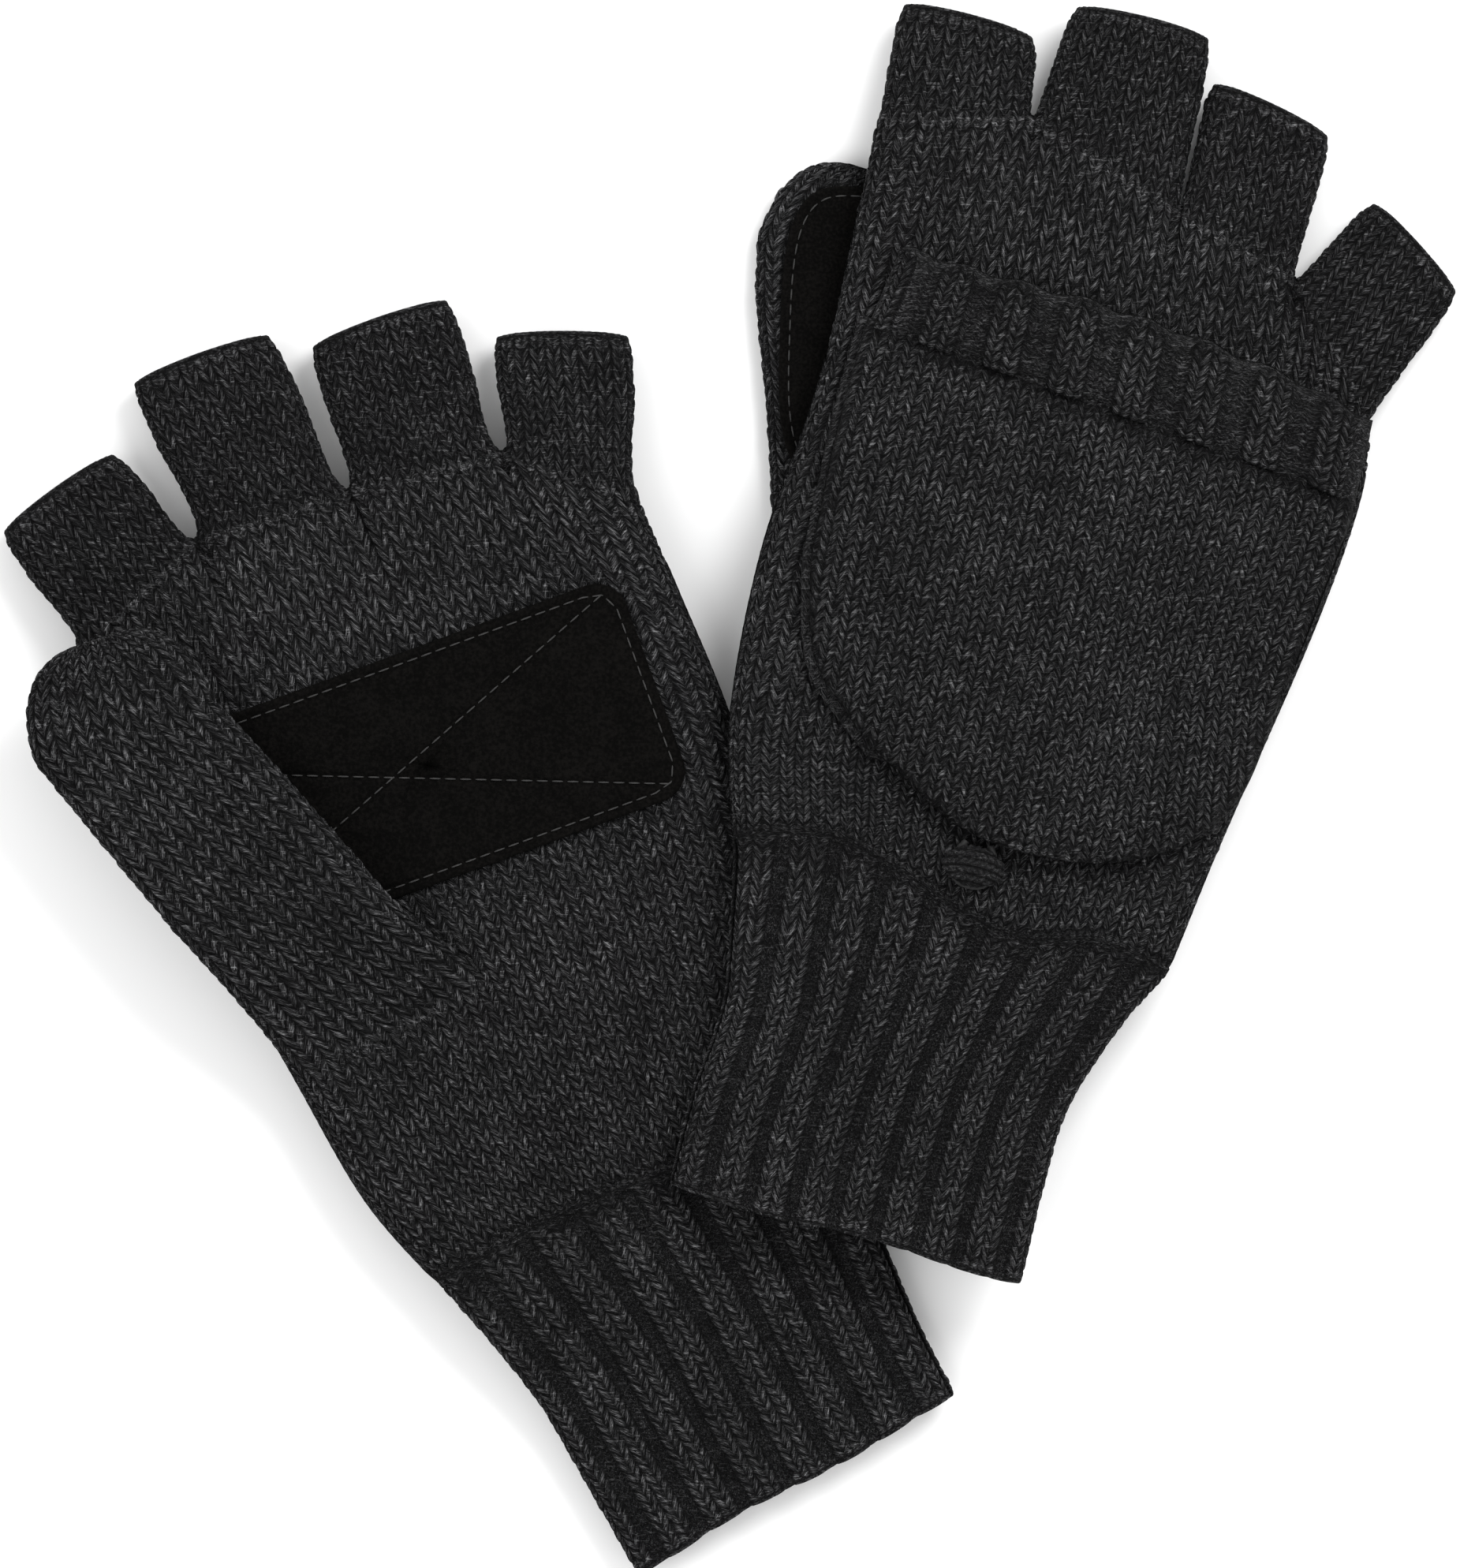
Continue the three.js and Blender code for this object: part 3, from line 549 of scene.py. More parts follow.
def makeThumb(mitten):
    k = thumbPiece
    leftLine, rightLine = throughPoints(mitten["thumbLeft"]), throughPoints(mitten["thumbRight"])
    lastLeft, lastRight = np.array(mitten["thumbLeft"][-1]), np.array(mitten["thumbRight"][-1])
    across = (lastRight - lastLeft) / np.linalg.norm(lastRight - lastLeft)
    onward = np.array([-across[1], across[0]])
    body = k["body"]
    whole = body + k["reach"] * 1.35  # the round tip takes a little more than its reach

    def shape(t, a, side, inset):
        along = t * whole
        s = np.clip(along / body, 0, 1)
        turn = np.clip((along - body) / (whole - body), 0, 1) * math.pi / 2
        edges = leftLine(s), rightLine(s)
        rise = smooth((edges[0][1] - k["riseFrom"]) / k["riseOver"])
        top = k["rootTop"] + k["topRise"] * rise ** 1.3
        bottom = k["rootBottom"] + k["bottomRise"] * rise
        half, middle = (top - bottom) / 2, (top + bottom) / 2
        share, _, p = tubeSection(*edges, a, k["roundWidth"], k["depth"] / 2, inset)
        reach = k["reach"] - inset
        share = 0.5 + (share - 0.5) * np.cos(turn) ** 0.62
        u, v = between(*edges, share)
        u, v = u + onward[0] * reach * np.sin(turn), v + onward[1] * reach * np.sin(turn)
        squash = np.where(turn > 0, profile(reach * (1 - np.sin(turn)), k["roundWidth"]), 1)
        soft = unevenness(u, v, mitten["seed"] + 9) * 0.4 * p * squash
        w = middle + side * np.maximum(half - inset, 0.3 * half) * p * squash + side * np.minimum(
            soft - 0.2, 0) * 0.7 * rise
        rest = restHeight(mitten, u, v) * (1 - rise) + mitten["thumbRest"] * rise
        return u, v, w, rest

    piece = knitTube(mitten["side"] + "_thumb_knit", mitten, shape, stockingColumns(k["stitches"]),
                     k["courses"], tip=True, lining=30)
    finished(piece, None, wool, mitten["side"] + "_thumb")
    start, end = (place(mitten, *np.array([k["blendU"], v, k["blendW"]])) for v in k["blendV"])
    end[2] = start[2]
    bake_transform(piece)


flipTip = 13.8
flipPiece = {"stitches": 31, "courses": 43, "innerCourses": 37, "crown": 0.7, "roundWidth": 12,
             "baseHeight": 7.0, "outerHeight": 13.6, "stripPast": 1.6, "innerLift": 0.35}


# The folded-back cover's outline: how low each column of it hangs, over the share across.
def flipOutline():
    low = throughPoints([(0, 92), (0.002, 76), (0.01, 60), (0.045, 43), (0.13, 33), (0.21, 26.5),
                         (0.38, 16.5), (0.54, flipTip), (0.70, 16.1), (0.84, 24), (0.93, 35),
                         (0.985, 52), (0.998, 70), (1, 90)])(np.linspace(0, 1, 400))
    order = np.argsort(low[0])
    return low[0][order], low[1][order]


# The cover's grid: courses t run down from the knuckle seam until they meet the outline, and the
# columns bow with its sides. Gives u, v and the distance to the outline; past carries it beyond.
def flipGrid(mitten, startAhead, past):
    k = flipPiece
    seamU, seamV = mitten["seamAt"]
    half = mitten["flipHalfWidth"]
    lowShare, lowV = flipOutline()
    bowOut = lambda v: np.interp(v, [13, 45, 62, 80, 104, 130], [-1, 0, 1.0, 1.2, 0, -1.5])
    leftU = lambda v: seamU - half - bowOut(v)
    bowIn = lambda v: np.interp(v, [22, 35, 52, 70, 92], [0, 2.6, 5.2, 3.2, 0])
    drawIn = lambda v, a: smooth((a - 0.5) / 0.5) * bowIn(v)
    grow = lambda u: seamU + (u - seamU) * np.where(u < seamU, 1 + past / half,
                                                    1 - 0.3 * past / half)
    edge = np.stack([seamU - half + 2 * half * lowShare, lowV], -1)

    def plan(t, a):
        lineU = seamU - half + 2 * half * a
        top = seamV + startAhead(a) + seamSlope * (lineU - seamU)
        bottom = np.interp(a, lowShare, lowV) - past
        v = np.maximum(top - t * (top - flipTip + past) / k["courses"], bottom)
        shareLeft = 1 - smooth(a / 0.5)
        u = grow(lineU + (leftU(v) - (seamU - half)) * shareLeft - drawIn(v, a))
        edgeV = edge[:, 1] - past
        edgeU = edge[:, 0] + (leftU(edge[:, 1]) - (seamU - half)) * (1 - smooth(lowShare / 0.5))
        edgeU = grow(edgeU - drawIn(edge[:, 1], lowShare))
        near = np.full(u.shape, 1e9)
        for n in range(0, len(edgeU), 3):
            near = np.minimum(near, (u - edgeU[n]) ** 2 + (v - edgeV[n]) ** 2)
        near = np.sqrt(near)
        near = np.minimum(near, np.minimum(u - edgeU[0], edgeU[-1] - u).clip(0) + (v < 60) * 1e3)
        near = np.where(v <= bottom + 1e-9, 0.0, near)
        return u, v, near

    return plan


def makeFlipTop(mitten):
    k = flipPiece
    side = mitten["side"]
    columns = closedSide(stockingColumns(k["stitches"]))
    hemLow = hemLines()[1]
    seamU, seamV = mitten["seamAt"]
    half = mitten["flipHalfWidth"]

    def underHem(a):
        u = seamU - half + 2 * half * a
        return hemLow(a) + 2.4 - seamV - seamSlope * (u - seamU)

    plan = flipGrid(mitten, underHem, 0)
    tall = k["outerHeight"] - k["baseHeight"]

    def height(t, a, inset):
        u, v, near = plan(t, a)
        rise = profile(near, k["roundWidth"]) ** 0.85
        dip = 1.5 * np.exp(-((v - hemLow(a) - 1.2) / 3.2) ** 2)
        soft = np.minimum(unevenness(u, v, mitten["seed"] + 20) * 0.55 - 0.5, 0)
        w = -(k["baseHeight"] + (tall - inset - k["crown"] - dip) * rise + soft * rise)
        return u, v, w

    # painted shade: darker under the hem and along the cover's rim
    def outerShade(t, a):
        _, v, near = plan(t, a)
        underShade = 1 - 0.75 * np.exp(-((v - hemLow(a) - 0.5) / 2.4) ** 2)
        return underShade * (0.3 + 0.7 * smooth(near / 2.2))

    outer = knitLayer(side + "_flip_top_outer_knit", mitten, lambda t, a: height(t, a, 0),
                      lambda t, a: height(t, a, wall), columns, k["courses"],
                      lambda t, a: smooth(plan(t, a)[2] / 2.5), outerShade)
    finished(outer, side + "_flip_top", wool, side + "_flip_top_outer_layer")

    strip = flipGrid(mitten, lambda a: 0 * a, k["stripPast"])

    def sheet(t, a, w, tuck):
        u, v, near = strip(t, a)
        return u, v, w + tuck * (1 - profile(near, 1.6))

    # Painted shade on the lining layer: it darkens away from its rim, for the shadow in the fold
    # beside the cover, so its whole middle is dark.
    inner = knitLayer(side + "_flip_top_inner_knit", mitten, lambda t, a: sheet(t, a, -5.0, -0.8),
                      lambda t, a: sheet(t, a, -6.5, 0.7), columns, k["innerCourses"],
                      lambda t, a: smooth(strip(t, a)[2] / 2.5),
                      lambda t, a: 0.25 + 0.75 * (1 - smooth((strip(t, a)[2] - 0.6) / 1.1)),
                      lift=k["innerLift"])
    finished(inner, side + "_flip_top", wool, side + "_flip_top_inner_layer")


hemPiece = {"ribs": 8, "courses": 9, "sink": 1.5, "thickness": 2.2, "lift": 0.6}


# The hem's upper and lower edge, as v over the share across it.
def hemLines():
    shape = np.array([(0, 127.2, 109.5), (0.2, 125.6, 107), (0.42, 124.8, 104),
                      (0.62, 122.5, 101.4), (0.82, 119, 98.8), (1, 113.5, 95.8)])
    return (lambda a: np.interp(a, shape[:, 0], smoothed(shape[:, 1])),
            lambda a: np.interp(a, shape[:, 0], smoothed(shape[:, 2])))


# Each value drawn a little towards its neighbours.
def smoothed(values):
    return np.convolve(np.pad(values, 1, mode="edge"), [0.06, 0.88, 0.06], mode="valid")


def makeHem(mitten):
    k = hemPiece
    seamU = mitten["seamAt"][0]
    half = mitten["flipHalfWidth"]
    upper, lower = hemLines()
    base = flipPiece["baseHeight"]
    tall = flipPiece["outerHeight"] - base

    def surface(t, a, inset):
        q = t / k["courses"]
        d, p = section(a, 2 * half, flipPiece["roundWidth"], tall)
        share = d / (2 * half)
        u = seamU - half + d + (0.8 + 3.2 * q) * (1 - smooth(share / 0.3))
        v = lower(share) + (upper(share) - lower(share)) * q
        v = v + 0.5 * np.sin(share * 8 * 6.28) * smooth((q - 0.7) / 0.3)
        # the band is padded: it curls down at both of its long edges
        curl = 1 - 0.4 * (1 - profile(q, 0.2)) - 0.75 * (1 - profile(1 - q, 0.34)) ** 1.2
        soft = np.minimum(unevenness(u, v, mitten["seed"] + 30) * 0.5 - 0.3, 0)
        w = -(base + (tall * curl - inset) * p + soft * p)
        return u, v, w

    columns = closedSide(ribColumns(k["ribs"], 7.0, 5.8, 8, k["sink"]))
    # Painted shade: the hem darkens towards both of its long edges, where it curls down.
    piece = knitLayer(mitten["side"] + "_flip_top_hem_rib", mitten, lambda t, a: surface(t, a, 0),
                      lambda t, a: surface(t, a, k["thickness"]), columns, k["courses"],
                      lambda t, a: smooth(a / 0.03) * smooth((1 - a) / 0.03),
                      lambda t, a: (0.35 + 0.65 * smooth((k["courses"] - t) / 2.2)
                                    * smooth((t + 0.4) / 1.2)), lift=k["lift"])
    finished(piece, mitten["side"] + "_flip_top", hemWool,
             mitten["side"] + "_flip_top_hem")


# The outline of a rounded block, evenly round it: four straight sides and four quarter circles.
def blockOutline(halfX, halfY, corner, count):
    turn = np.linspace(0, math.pi / 2, 12)
    arc = np.stack([np.cos(turn), np.sin(turn)], -1) * corner
    inX, inY = halfX - corner, halfY - corner
    quarters = [arc + (inX, inY), arc[::-1] * (-1, 1) + (-inX, inY), -arc + (-inX, -inY),
                arc[::-1] * (1, -1) + (inX, -inY)]
    line = np.concatenate([*quarters, quarters[0][:1]])
    run = runLength(line)
    at = np.linspace(0, run[-1], count, endpoint=False)
    return np.stack([np.interp(at, run, line[:, 0]), np.interp(at, run, line[:, 1])], -1)


# The outline of a squared oval: x to the power n plus y to the power n is 1.
def ovalOutline(halfX, halfY, power, count):
    angle = np.linspace(0, 2 * math.pi, count, endpoint=False)
    reach = (np.abs(np.cos(angle)) ** power + np.abs(np.sin(angle)) ** power) ** (-1 / power)
    return np.stack([np.cos(angle) * reach * halfX, np.sin(angle) * reach * halfY], -1)


suedeNap = 0.12


# A flat patch as rings of its outline round its middle, bent with the mitten, its rim rounded and
# pressed in along the sewing.
def patchObject(name, mitten, outline, at, turnDeg, lowW, thick, rings, sewn, rest=None):
    around = len(outline)
    inward = np.concatenate([np.linspace(0, 0.93, rings), [0.955, 0.975, 0.99, 1.0]])
    rim = np.clip((1 - inward) / 0.07, 0, 1)
    x, y = (inward[:, None] * outline[:, i] for i in (0, 1))
    drawn = np.random.default_rng(mitten["seed"] + 50).normal(0, 1, x.shape)
    grain = drawn * (rim[:, None] > 0.99) * suedeNap
    press = 0.5 * np.exp(-(sewn(x, y) / 0.75) ** 2)
    outward = math.copysign(1, thick)
    topW = (lowW + thick * (0.35 + 0.65 * profile(rim, 1)[:, None])
            + outward * (grain * 0.3 - press * rim[:, None]))
    lowFace = np.full(x.shape, lowW) + 0.25 * thick * (rim[:, None] < 0.3)
    u, v = turned(x, y, at, turnDeg)
    restAt = None if rest is None else u * 0 + rest
    top, bottom = place(mitten, u, v, topW, restAt), place(mitten, u, v, lowFace, restAt)
    points = np.concatenate([top, bottom[::-1]])
    high = np.concatenate([1 - press, np.ones_like(press)])
    rowAt = np.concatenate([inward * 20, 20 + inward * 20])
    return gridObject(name, points, rowAt, np.arange(around) / 8, high, False, weld=True)


# Distance from points to a segment.
def toSegment(x, y, a, b):
    ax, ay = a
    dx, dy = b[0] - ax, b[1] - ay
    t = np.clip(((x - ax) * dx + (y - ay) * dy) / (dx * dx + dy * dy), 0, 1)
    return np.hypot(x - ax - t * dx, y - ay - t * dy)


# Sewing: one small rounded bar for each stitch along a path on the plan, 8 round and 5 long.
def stitchRow(name, mitten, paths, length, gap, thickness, w, outward=1, rest=None):
    allPoints, allFaces = [], []
    for path in paths:
        path = np.array(path, float)
        run = runLength(path)
        count = int(run[-1] // (length + gap))
        starts = (np.arange(count) + 0.25) * run[-1] / count
        along = np.linspace(0, 1, 7)
        s = starts[:, None] + along * length
        u, v = (np.interp(s, run, path[:, i]) for i in (0, 1))
        lift = thickness * (np.sin(along * math.pi) ** 0.5 * 0.9 - 0.55)
        fat = thickness * (0.35 + 0.65 * np.sin(np.clip(along, 0.04, 0.96) * math.pi) ** 0.4)
        du, dv = np.gradient(u, axis=1), np.gradient(v, axis=1)
        norm = np.hypot(du, dv)
        turn = np.arange(8) / 8 * 2 * math.pi
        su = u[..., None] - dv[..., None] / norm[..., None] * np.cos(turn) * fat[None, :, None]
        sv = v[..., None] + du[..., None] / norm[..., None] * np.cos(turn) * fat[None, :, None]
        sw = w + outward * lift[None, :, None] + np.sin(turn) * fat[None, :, None] * 0.8
        restAt = None if rest is None else su * 0 + rest
        points = place(mitten, su, sv, np.broadcast_to(sw, su.shape), restAt).reshape(-1, 3)
        i, j, n = np.meshgrid(np.arange(6), np.arange(8), np.arange(count), indexing="ij")
        i, j, n = i.ravel(), j.ravel(), n.ravel()
        base = n * 56
        j2 = (j + 1) % 8
        ring = base + i * 8
        faces = np.stack([ring + j, ring + j2, ring + 8 + j2, ring + 8 + j], -1)
        start = sum(len(p) for p in allPoints)
        caps = [[start + m * 56 + q for q in end]
                for m in range(count) for end in (range(7, -1, -1), range(48, 56))]
        allFaces += (faces + start).tolist() + caps
        allPoints.append(points)
    points = np.concatenate(allPoints)
    mesh = bpy.data.meshes.new(name)
    mesh.from_pydata(points.tolist(), [], allFaces)
    mesh.uv_layers.new(name="stitchMap")
    work = bmesh.new()
    work.from_mesh(mesh)
    bmesh.ops.recalc_face_normals(work, faces=work.faces)
    work.to_mesh(mesh)
    work.free()
    mesh.shade_smooth()
    return linked(name, mesh)


palmPatch = {"half": (48.5, 23.0), "turn": -5, "thick": 1.0, "inset": 2.1, "crossAt": -7.3,
             "corner": 6.5, "stitch": 2.2, "gap": 0.8, "thread": 0.17}


def makePalmPatch(mitten):
    k = palmPatch
    x, y = k["half"][0] - k["inset"], k["half"][1] - k["inset"]
    slope = y / (x - k["crossAt"])
    far = slope * (x + k["crossAt"])
    lines = [((x - 1.2, y - 1.2 * slope), (-x, -far)), ((x - 1.2, 1.2 * slope - y), (-x, far))]
    frameLine = blockOutline(x, y, k["corner"] - k["inset"], 64)
    frameLines = list(zip(frameLine, np.roll(frameLine, -1, 0)))
    low = handDepth / 2 + 0.5

    def sewn(px, py):
        return np.min([toSegment(px, py, *line) for line in lines + frameLines], 0)

    side = mitten["side"]
    outline = blockOutline(*k["half"], k["corner"], 560)
    patch = patchObject(side + "_palm_patch_suede", mitten, outline, mitten["patchAt"], k["turn"],
                        low, k["thick"], 80, sewn)
    finished(patch, side + "_mitten", suede, side + "_palm_patch")
    paths = [[turned(*p, mitten["patchAt"], k["turn"]) for p in line]
             for line in [np.vstack([frameLine, frameLine[:1]]), *lines]]
    sewing = stitchRow(side + "_palm_patch_sewing", mitten, paths, k["stitch"], k["gap"],
                       k["thread"], low + k["thick"] - 0.18)
    finished(sewing, side + "_mitten", thread, side + "_palm_patch_stitching")


thumbPad = {"half": (14.5, 30.0), "power": 3.4, "thick": 1.0, "inset": 2.0, "stitch": 2.2,
            "gap": 0.8, "thread": 0.17}


def makeThumbPad(mitten):
    k = thumbPad
    side = mitten["side"]
    # the pad lies on the thumb's face that is turned to the palm
    face = handDepth / 2 + thumbStack - thumbPiece["depth"] - 0.4
    line = ovalOutline(k["half"][0] - k["inset"], k["half"][1] - k["inset"], k["power"], 200)
    lineX, lineY = line[:, 0], line[:, 1]

    def sewn(px, py):
        near = np.full(px.shape, 1e9)
        for n in range(0, 200, 2):
            near = np.minimum(near, (px - lineX[n]) ** 2 + (py - lineY[n]) ** 2)
        return np.sqrt(near)

    pad = patchObject(side + "_thumb_patch_suede", mitten, ovalOutline(*k["half"], k["power"], 180),
                      mitten["padAt"], mitten["padLean"], face, -k["thick"], 34, sewn,
                      mitten["thumbRest"])
    finished(pad, side + "_thumb", suede, side + "_thumb_patch")
    path = [turned(x, y, mitten["padAt"], mitten["padLean"]) for x, y in line]
    sewing = stitchRow(side + "_thumb_patch_sewing", mitten, [path], k["stitch"], k["gap"],
                       k["thread"], face - k["thick"] + 0.16, -1, mitten["thumbRest"])
    finished(sewing, side + "_thumb", thread, side + "_thumb_patch_stitching")


buttonPiece = {"half": (6.7, 4.3), "courses": 5.0, "shank": 2.4, "height": 7.4, "around": 128,
               "domeRows": 46}


# The button: an oval dome on a short shank. Ridges of yarn run along it, each a rounded wave
# over the place across, and slant strands make each ridge a row of loops.
def makeButton(mitten):
    k = buttonPiece
    up = np.concatenate([[-90, -80, -60, -35, -12], np.linspace(0, 90, k["domeRows"])])
    around = np.linspace(0, 2 * math.pi, k["around"], endpoint=False)
    turn = np.radians(up)[:, None]
    level = np.where(up < 0, 1.0, 0)[:, None]
    x = np.cos(around) * np.cos(turn) * (1 - level * 0.1)
    y = np.sin(around) * np.cos(turn) * (1 - level * 0.1)
    rise = np.where(up[:, None] < 0, np.sin(turn) * k["shank"] * 0.9,
                    np.sin(turn) * (k["height"] - k["shank"]))
    course = (y + 0.25 * x * x) * k["courses"] / 2
    ridge = np.abs(np.sin(course * math.pi))
    slant = x * k["half"][0] * 1.3 + 0.9 * np.cos(course * math.pi)
    strand = 0.5 + 0.5 * np.sin(slant * math.pi)
    yarn = ridge ** 0.8 * (0.45 + 0.55 * strand)
    grow = 1 - 0.12 * (1 - yarn)
    u = mitten["buttonAt"][0] + x * k["half"][0] * grow
    v = mitten["buttonAt"][1] + y * k["half"][1] * grow
    w = -(handDepth / 2 + buttonFoot + k["shank"] + rise * grow)
    points = place(mitten, u, v, w, u * 0 + restHeight(mitten, *np.array(mitten["buttonAt"])))
    piece = gridObject(mitten["side"] + "_button_knit", points, np.arange(len(up)) / 4,
                       np.arange(k["around"]) / 8.0, yarn, False, weld=True)
    finished(piece, mitten["side"] + "_mitten", wool, mitten["side"] + "_button")


loopPiece = {"tipAhead": 5.6, "reachBelow": 3.2, "half": 4.6, "steps": 90, "round": 12}


# The elastic loop: a round cord carried along its path from the flip-top's tip round the shank.
def makeLoop(mitten):
    k = loopPiece
    bu, bv = mitten["buttonAt"]
    tip, below, half = bv + k["tipAhead"], bv - k["reachBelow"], k["half"]
    path = throughPoints([(2.4, tip - 0.9), (half, bv), (2.6, below), (0, below - 0.7),
                          (-2.6, below), (-half, bv), (-2.4, tip - 0.9)])
    t = np.linspace(0, 1, k["steps"])
    x, y = path(t)
    dx, dy = np.gradient(x), np.gradient(y)
    norm = np.hypot(dx, dy)
    turn = np.linspace(0, 2 * math.pi, k["round"], endpoint=False)
    r = cordRadius * (1 + 0.06 * np.sin(t[:, None] * 150 + turn * 2))
    u = bu + x[:, None] - dy[:, None] / norm[:, None] * np.cos(turn) * r
    v = y[:, None] + dx[:, None] / norm[:, None] * np.cos(turn) * r
    w = -(handDepth / 2 + buttonFoot + buttonPiece["shank"] / 2) + np.sin(turn) * r
    points = place(mitten, u, v, w, u * 0 + restHeight(mitten, *np.array(mitten["buttonAt"])))
    ends = np.repeat(points[[0, -1]].mean(1, keepdims=True), k["round"], 1)
    points = np.concatenate([ends[:1], points, ends[1:]])
    piece = gridObject(mitten["side"] + "_elastic_loop", points, np.arange(len(points)) / 6,
                       np.arange(k["round"]) / 6.0, np.ones(points.shape[:2]), False, weld=True)
    finished(piece, mitten["side"] + "_flip_top", elastic,
             mitten["side"] + "_button_loop")


# A piece gets its material and the body that it rides on, and the CAD node it replaces is hidden.
def finished(piece, body, material, node):
    piece.data.materials.append(material)
    if body:
        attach(piece, body)
    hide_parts(node)


# Small helpers for node trees.
def addNode(tree, kind, inputs=None, **settings):
    node = tree.nodes.new(kind)
    for name, value in settings.items():
        setattr(node, name, value)
    for key, value in (inputs or {}).items():
        if hasattr(value, "is_output"):
            tree.links.new(value, node.inputs[key])
        else:
            node.inputs[key].default_value = value
    return node


def mathNode(tree, operation, a, b=None, c=None, clamp=False):
    inputs = {i: x for i, x in enumerate((a, b, c)) if x is not None}
    return addNode(tree, "ShaderNodeMath", inputs, operation=operation, use_clamp=clamp).outputs[0]


def ramp(tree, value, low, high):
    return addNode(tree, "ShaderNodeMapRange", {0: value, 1: low, 2: high, 3: 0.0, 4: 1.0},
                   interpolation_type="SMOOTHSTEP").outputs[0]


# A noise value from 0 to 1 at a place.
def noise(tree, place, scale, detail, **extra):
    return addNode(tree, "ShaderNodeTexNoise", {"Vector": place, "Scale": scale, "Detail": detail,
                                                **extra}).outputs[0]


def mixColour(tree, share, low, high):
    return addNode(tree, "ShaderNodeMix", {0: share, 6: low, 7: high}, data_type="RGBA").outputs[2]


def objectPoint(tree):
    return addNode(tree, "ShaderNodeTexCoord").outputs["Object"]


def newGroup(name, inputs, outputs):
    group = bpy.data.node_groups.new(name, "ShaderNodeTree")
    for socket, kind, value in inputs:
        made = group.interface.new_socket(socket, in_out="INPUT", socket_type=kind)
        if value is not None:
            made.default_value = value
    for socket, kind in outputs:
        group.interface.new_socket(socket, in_out="OUTPUT", socket_type=kind)
    given = group.nodes.new("NodeGroupInput").outputs
    return group, given, group.nodes.new("NodeGroupOutput").inputs


# Heathered yarn: fibres drawn along each leg of the stitch map, a few pale ones among dark ones,
# loose hairs that cross the stitches, slow light and dark bands from the spinning, and painted
# shade where the yarn height is low.
def heatherGroup():
    t, given, out = newGroup(
        "heatherYarn",
        [("Stitch", "NodeSocketVector", None), ("Yarn Height And Shade", "NodeSocketFloat", 1.0),
         ("Pale Share", "NodeSocketFloat", 0.5), ("Gap Shade", "NodeSocketFloat", 0.7)],
        [("Color", "NodeSocketColor"), ("Height", "NodeSocketFloat")])
    split = addNode(t, "ShaderNodeSeparateXYZ", {0: given["Stitch"]})
    u, v = split.outputs[0], split.outputs[1]

    def times(a, b):
        return mathNode(t, "MULTIPLY", a, b)

    def plus(a, b):
        return mathNode(t, "ADD", a, b)

    # each leg of a stitch gets its own lane of fibres
    lane = times(mathNode(t, "FLOOR", times(u, 2.0)), 7.31)

    def drawn(along, across, offset, distortion):
        place = addNode(t, "ShaderNodeCombineXYZ",
                        {0: times(u, along), 1: plus(times(v, across), lane), 2: offset})
        return noise(t, place.outputs[0], 1.0, 2.0, Roughness=0.6, Distortion=distortion)

    fine = drawn(4.2, 9.0, 0.0, 0.6)
    broad = drawn(2.2, 3.4, 4.0, 0.4)
    point = objectPoint(t)

    def hairs(turn, offset):
        laid = addNode(t, "ShaderNodeMapping", {
            "Vector": point, "Location": offset, "Rotation": (0.0, 0.0, turn),
            "Scale": (330.0, 2500.0, 900.0)})
        return noise(t, laid.outputs[0], 1.0, 1.0, Distortion=0.7)

    loose = mathNode(t, "MAXIMUM", hairs(1.1, (0.0, 0.0, 0.0)), hairs(-0.6, (3.0, 1.0, 2.0)))
    loose = mathNode(t, "MAXIMUM", loose, hairs(1.9, (7.0, 5.0, 1.0)))
    slow = addNode(t, "ShaderNodeCombineXYZ", {0: times(u, 0.22), 1: times(v, 0.9)}).outputs[0]
    bands = noise(t, slow, 1.0, 3.0)
    patchy = noise(t, point, 45.0, 2.0)
    pale = plus(ramp(t, fine, 0.5, 0.7), times(ramp(t, broad, 0.45, 0.7), 0.25))
    pale = times(pale, given["Pale Share"])
    pale = times(pale, mathNode(t, "MULTIPLY_ADD", bands, 2.2, -0.1))
    pale = times(pale, mathNode(t, "MULTIPLY_ADD", patchy, 1.2, 0.4))
    hair = times(ramp(t, loose, 0.65, 0.74), 0.45)
    # Painted shade: the colour and the pale fibres darken where the yarn height is low, in the gaps
    # between the yarn.
    gap = mathNode(t, "POWER", mathNode(t, "MAXIMUM", given["Yarn Height And Shade"], 0.0), 1.3)
    shade = plus(times(gap, given["Gap Shade"]),
                 mathNode(t, "SUBTRACT", 1.0, given["Gap Shade"]))
    amount = mathNode(t, "MULTIPLY", plus(pale, hair), shade, clamp=True)
    dark = mixColour(t, shade, (0.0008, 0.0008, 0.0009, 1), (0.0055, 0.0055, 0.0058, 1))
    t.links.new(mixColour(t, amount, dark, (0.22, 0.22, 0.226, 1)), out["Color"])
    height = plus(times(fine, 0.8), times(broad, 0.6))
    t.links.new(plus(height, times(hair, 0.5)), out["Height"])
    return t


def newMaterial(name, roughness):
    material = bpy.data.materials.new(name)
    material.use_nodes = True
    tree = material.node_tree
    tree.nodes.clear()
    output = tree.nodes.new("ShaderNodeOutputMaterial")
    shader = tree.nodes.new("ShaderNodeBsdfPrincipled")
    tree.links.new(shader.outputs[0], output.inputs[0])
    shader.inputs["Roughness"].default_value = roughness
    return material, tree, shader


# Colour and relief from values to a shader.
def surfaced(tree, shader, colour, height, strength, distance):
    tree.links.new(colour, shader.inputs["Base Color"])
    bump = addNode(tree, "ShaderNodeBump", {"Height": height, "Strength": strength,
                                            "Distance": distance})
    tree.links.new(bump.outputs[0], shader.inputs["Normal"])


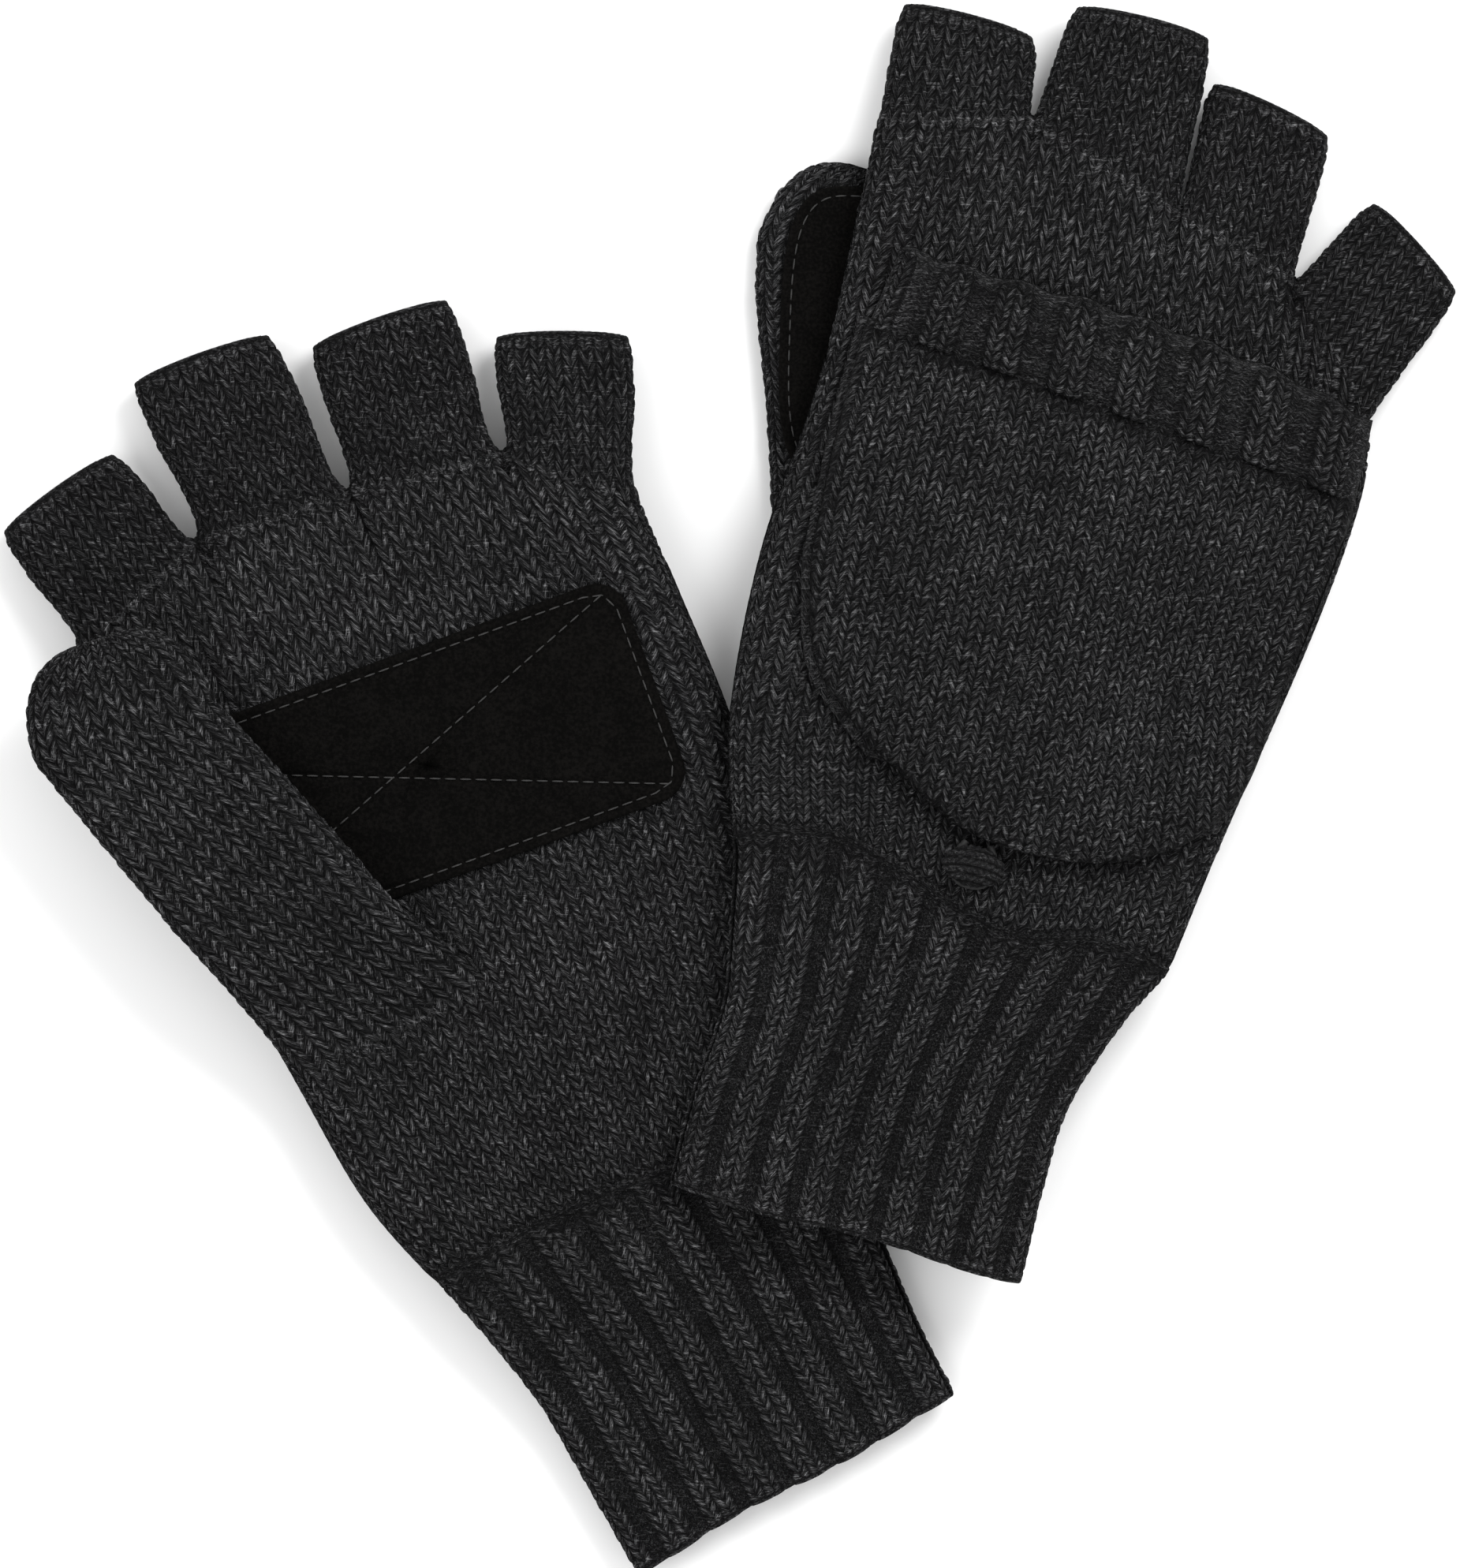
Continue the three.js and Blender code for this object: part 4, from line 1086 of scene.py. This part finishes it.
def yarnMaterial(name, group, paleShare, gapShade):
    material, t, shader = newMaterial(name, 0.9)
    made = addNode(t, "ShaderNodeGroup", node_tree=group)
    t.links.new(addNode(t, "ShaderNodeUVMap", uv_map="stitchMap").outputs[0], made.inputs["Stitch"])
    height = addNode(t, "ShaderNodeAttribute", attribute_name="yarnHeightAndShade").outputs["Fac"]
    t.links.new(height, made.inputs["Yarn Height And Shade"])
    made.inputs["Pale Share"].default_value = paleShare
    made.inputs["Gap Shade"].default_value = gapShade
    surfaced(t, shader, made.outputs["Color"], made.outputs["Height"], 0.9, 0.0006)
    shader.inputs["Specular IOR Level"].default_value = 0.08
    return material


# Suede: a short nap that lies in patches, slightly lighter where it is brushed up.
def suedeMaterial():
    material, t, shader = newMaterial("blackSuede", 0.97)
    point = objectPoint(t)
    nap = noise(t, point, 1500.0, 3.0)
    brushed = noise(t, point, 130.0, 3.0, Distortion=0.8)
    mixed = mathNode(t, "ADD", mathNode(t, "MULTIPLY", nap, 0.75),
                     mathNode(t, "MULTIPLY", brushed, 0.25))
    colour = mixColour(t, ramp(t, mixed, 0.38, 0.68), (0.0016, 0.0015, 0.0014, 1),
                       (0.0044, 0.0040, 0.0037, 1))
    surfaced(t, shader, colour, mixed, 0.6, 0.0004)
    shader.inputs["Specular IOR Level"].default_value = 0.04
    return material


# Thread and elastic: fine light and dark flecks.
def cordMaterial(name, darkColour, lightColour, scale):
    material, t, shader = newMaterial(name, 0.75)
    ply = noise(t, objectPoint(t), scale, 2.0)
    colour = mixColour(t, ramp(t, ply, 0.35, 0.7), darkColour, lightColour)
    surfaced(t, shader, colour, ply, 0.4, 0.0002)
    return material


yarnGroup = heatherGroup()
# Copies of the wool at different brightness, set to how dark each part looks: darker on the finger
# stalls and the hem, lighter on the cuff ribs.
wool = yarnMaterial("charcoalWool", yarnGroup, 0.56, 0.88)
tipWool = yarnMaterial("charcoalTipWool", yarnGroup, 0.36, 0.86)
ribWool = yarnMaterial("charcoalRib", yarnGroup, 0.6, 0.9)
hemWool = yarnMaterial("charcoalHem", yarnGroup, 0.46, 0.9)
suede = suedeMaterial()
thread = cordMaterial("greyThread", (0.012, 0.012, 0.012, 1), (0.026, 0.025, 0.024, 1), 2500.0)
elastic = cordMaterial("blackElastic", (0.004, 0.004, 0.004, 1), (0.012, 0.012, 0.012, 1), 1800.0)
print("materials made")

for mitten in (left, right):
    makeHand(mitten)
    makeCuff(mitten)
    for number in range(4):
        makeStall(mitten, number)
    print(mitten["side"], "hand, cuff and finger stalls made")
    makeThumb(mitten)
    makeThumbPad(mitten)
    makePalmPatch(mitten)
    print(mitten["side"], "thumb and suede made")
    makeFlipTop(mitten)
    makeHem(mitten)
    makeButton(mitten)
    makeLoop(mitten)
    print(mitten["side"], "flip-top, hem, button and loop made")

stageSet = {"floor": 4.0, "floorAt": -0.0006, "paper": (0.95, 0.95, 0.95, 1), "ambient": 1.0,
            "cameraHeight": 3.0, "viewLength": 0.3141, "sensor": 36,
            "lights": (("keyLight", (0.5, 0.6, 1.0), 0.5, 9.0),
                       ("fillLight", (-0.7, -0.2, 1.1), 0.9, 4.0))}


# A pale floor just under the mittens, an even sky, two soft lights and a camera straight above.
def makeStage():
    k = stageSet
    size, z = k["floor"] / 2, k["floorAt"]
    mesh = bpy.data.meshes.new("floor")
    mesh.from_pydata([(-size, -size, z), (size, -size, z), (size, size, z), (-size, size, z)], [],
                     [(0, 1, 2, 3)])
    floor = linked("floor", mesh)
    material, _, shader = newMaterial("palePaper", 0.9)
    shader.inputs["Base Color"].default_value = k["paper"]
    mesh.materials.append(material)

    world = bpy.data.worlds.new("studio")
    world.use_nodes = True
    sky = world.node_tree.nodes["Background"]
    sky.inputs[0].default_value = (1, 1, 1, 1)
    sky.inputs[1].default_value = k["ambient"]
    bpy.context.scene.world = world
    for name, at, size, power in k["lights"]:
        data = bpy.data.lights.new(name, "AREA")
        data.energy, data.size = power, size
        light = linked(name, data)
        light.location = at
        light.rotation_mode = "QUATERNION"
        light.rotation_quaternion = (-light.location).to_track_quat("-Z", "Y")

    data = bpy.data.cameras.new("camera")
    camera = linked("camera", data)
    camera.location = (shift[0] / 1000, shift[1] / 1000, k["cameraHeight"])
    data.sensor_width = k["sensor"]
    # the frame's long side takes in viewLength at the height of the mittens' middle
    data.lens = k["sensor"] * (k["cameraHeight"] - 0.02) / k["viewLength"]
    data.clip_end = 20
    bpy.context.scene.camera = camera
    bpy.context.scene.view_settings.view_transform = "Standard"


makeStage()
print("stage made")

bpy.context.view_layer.update()
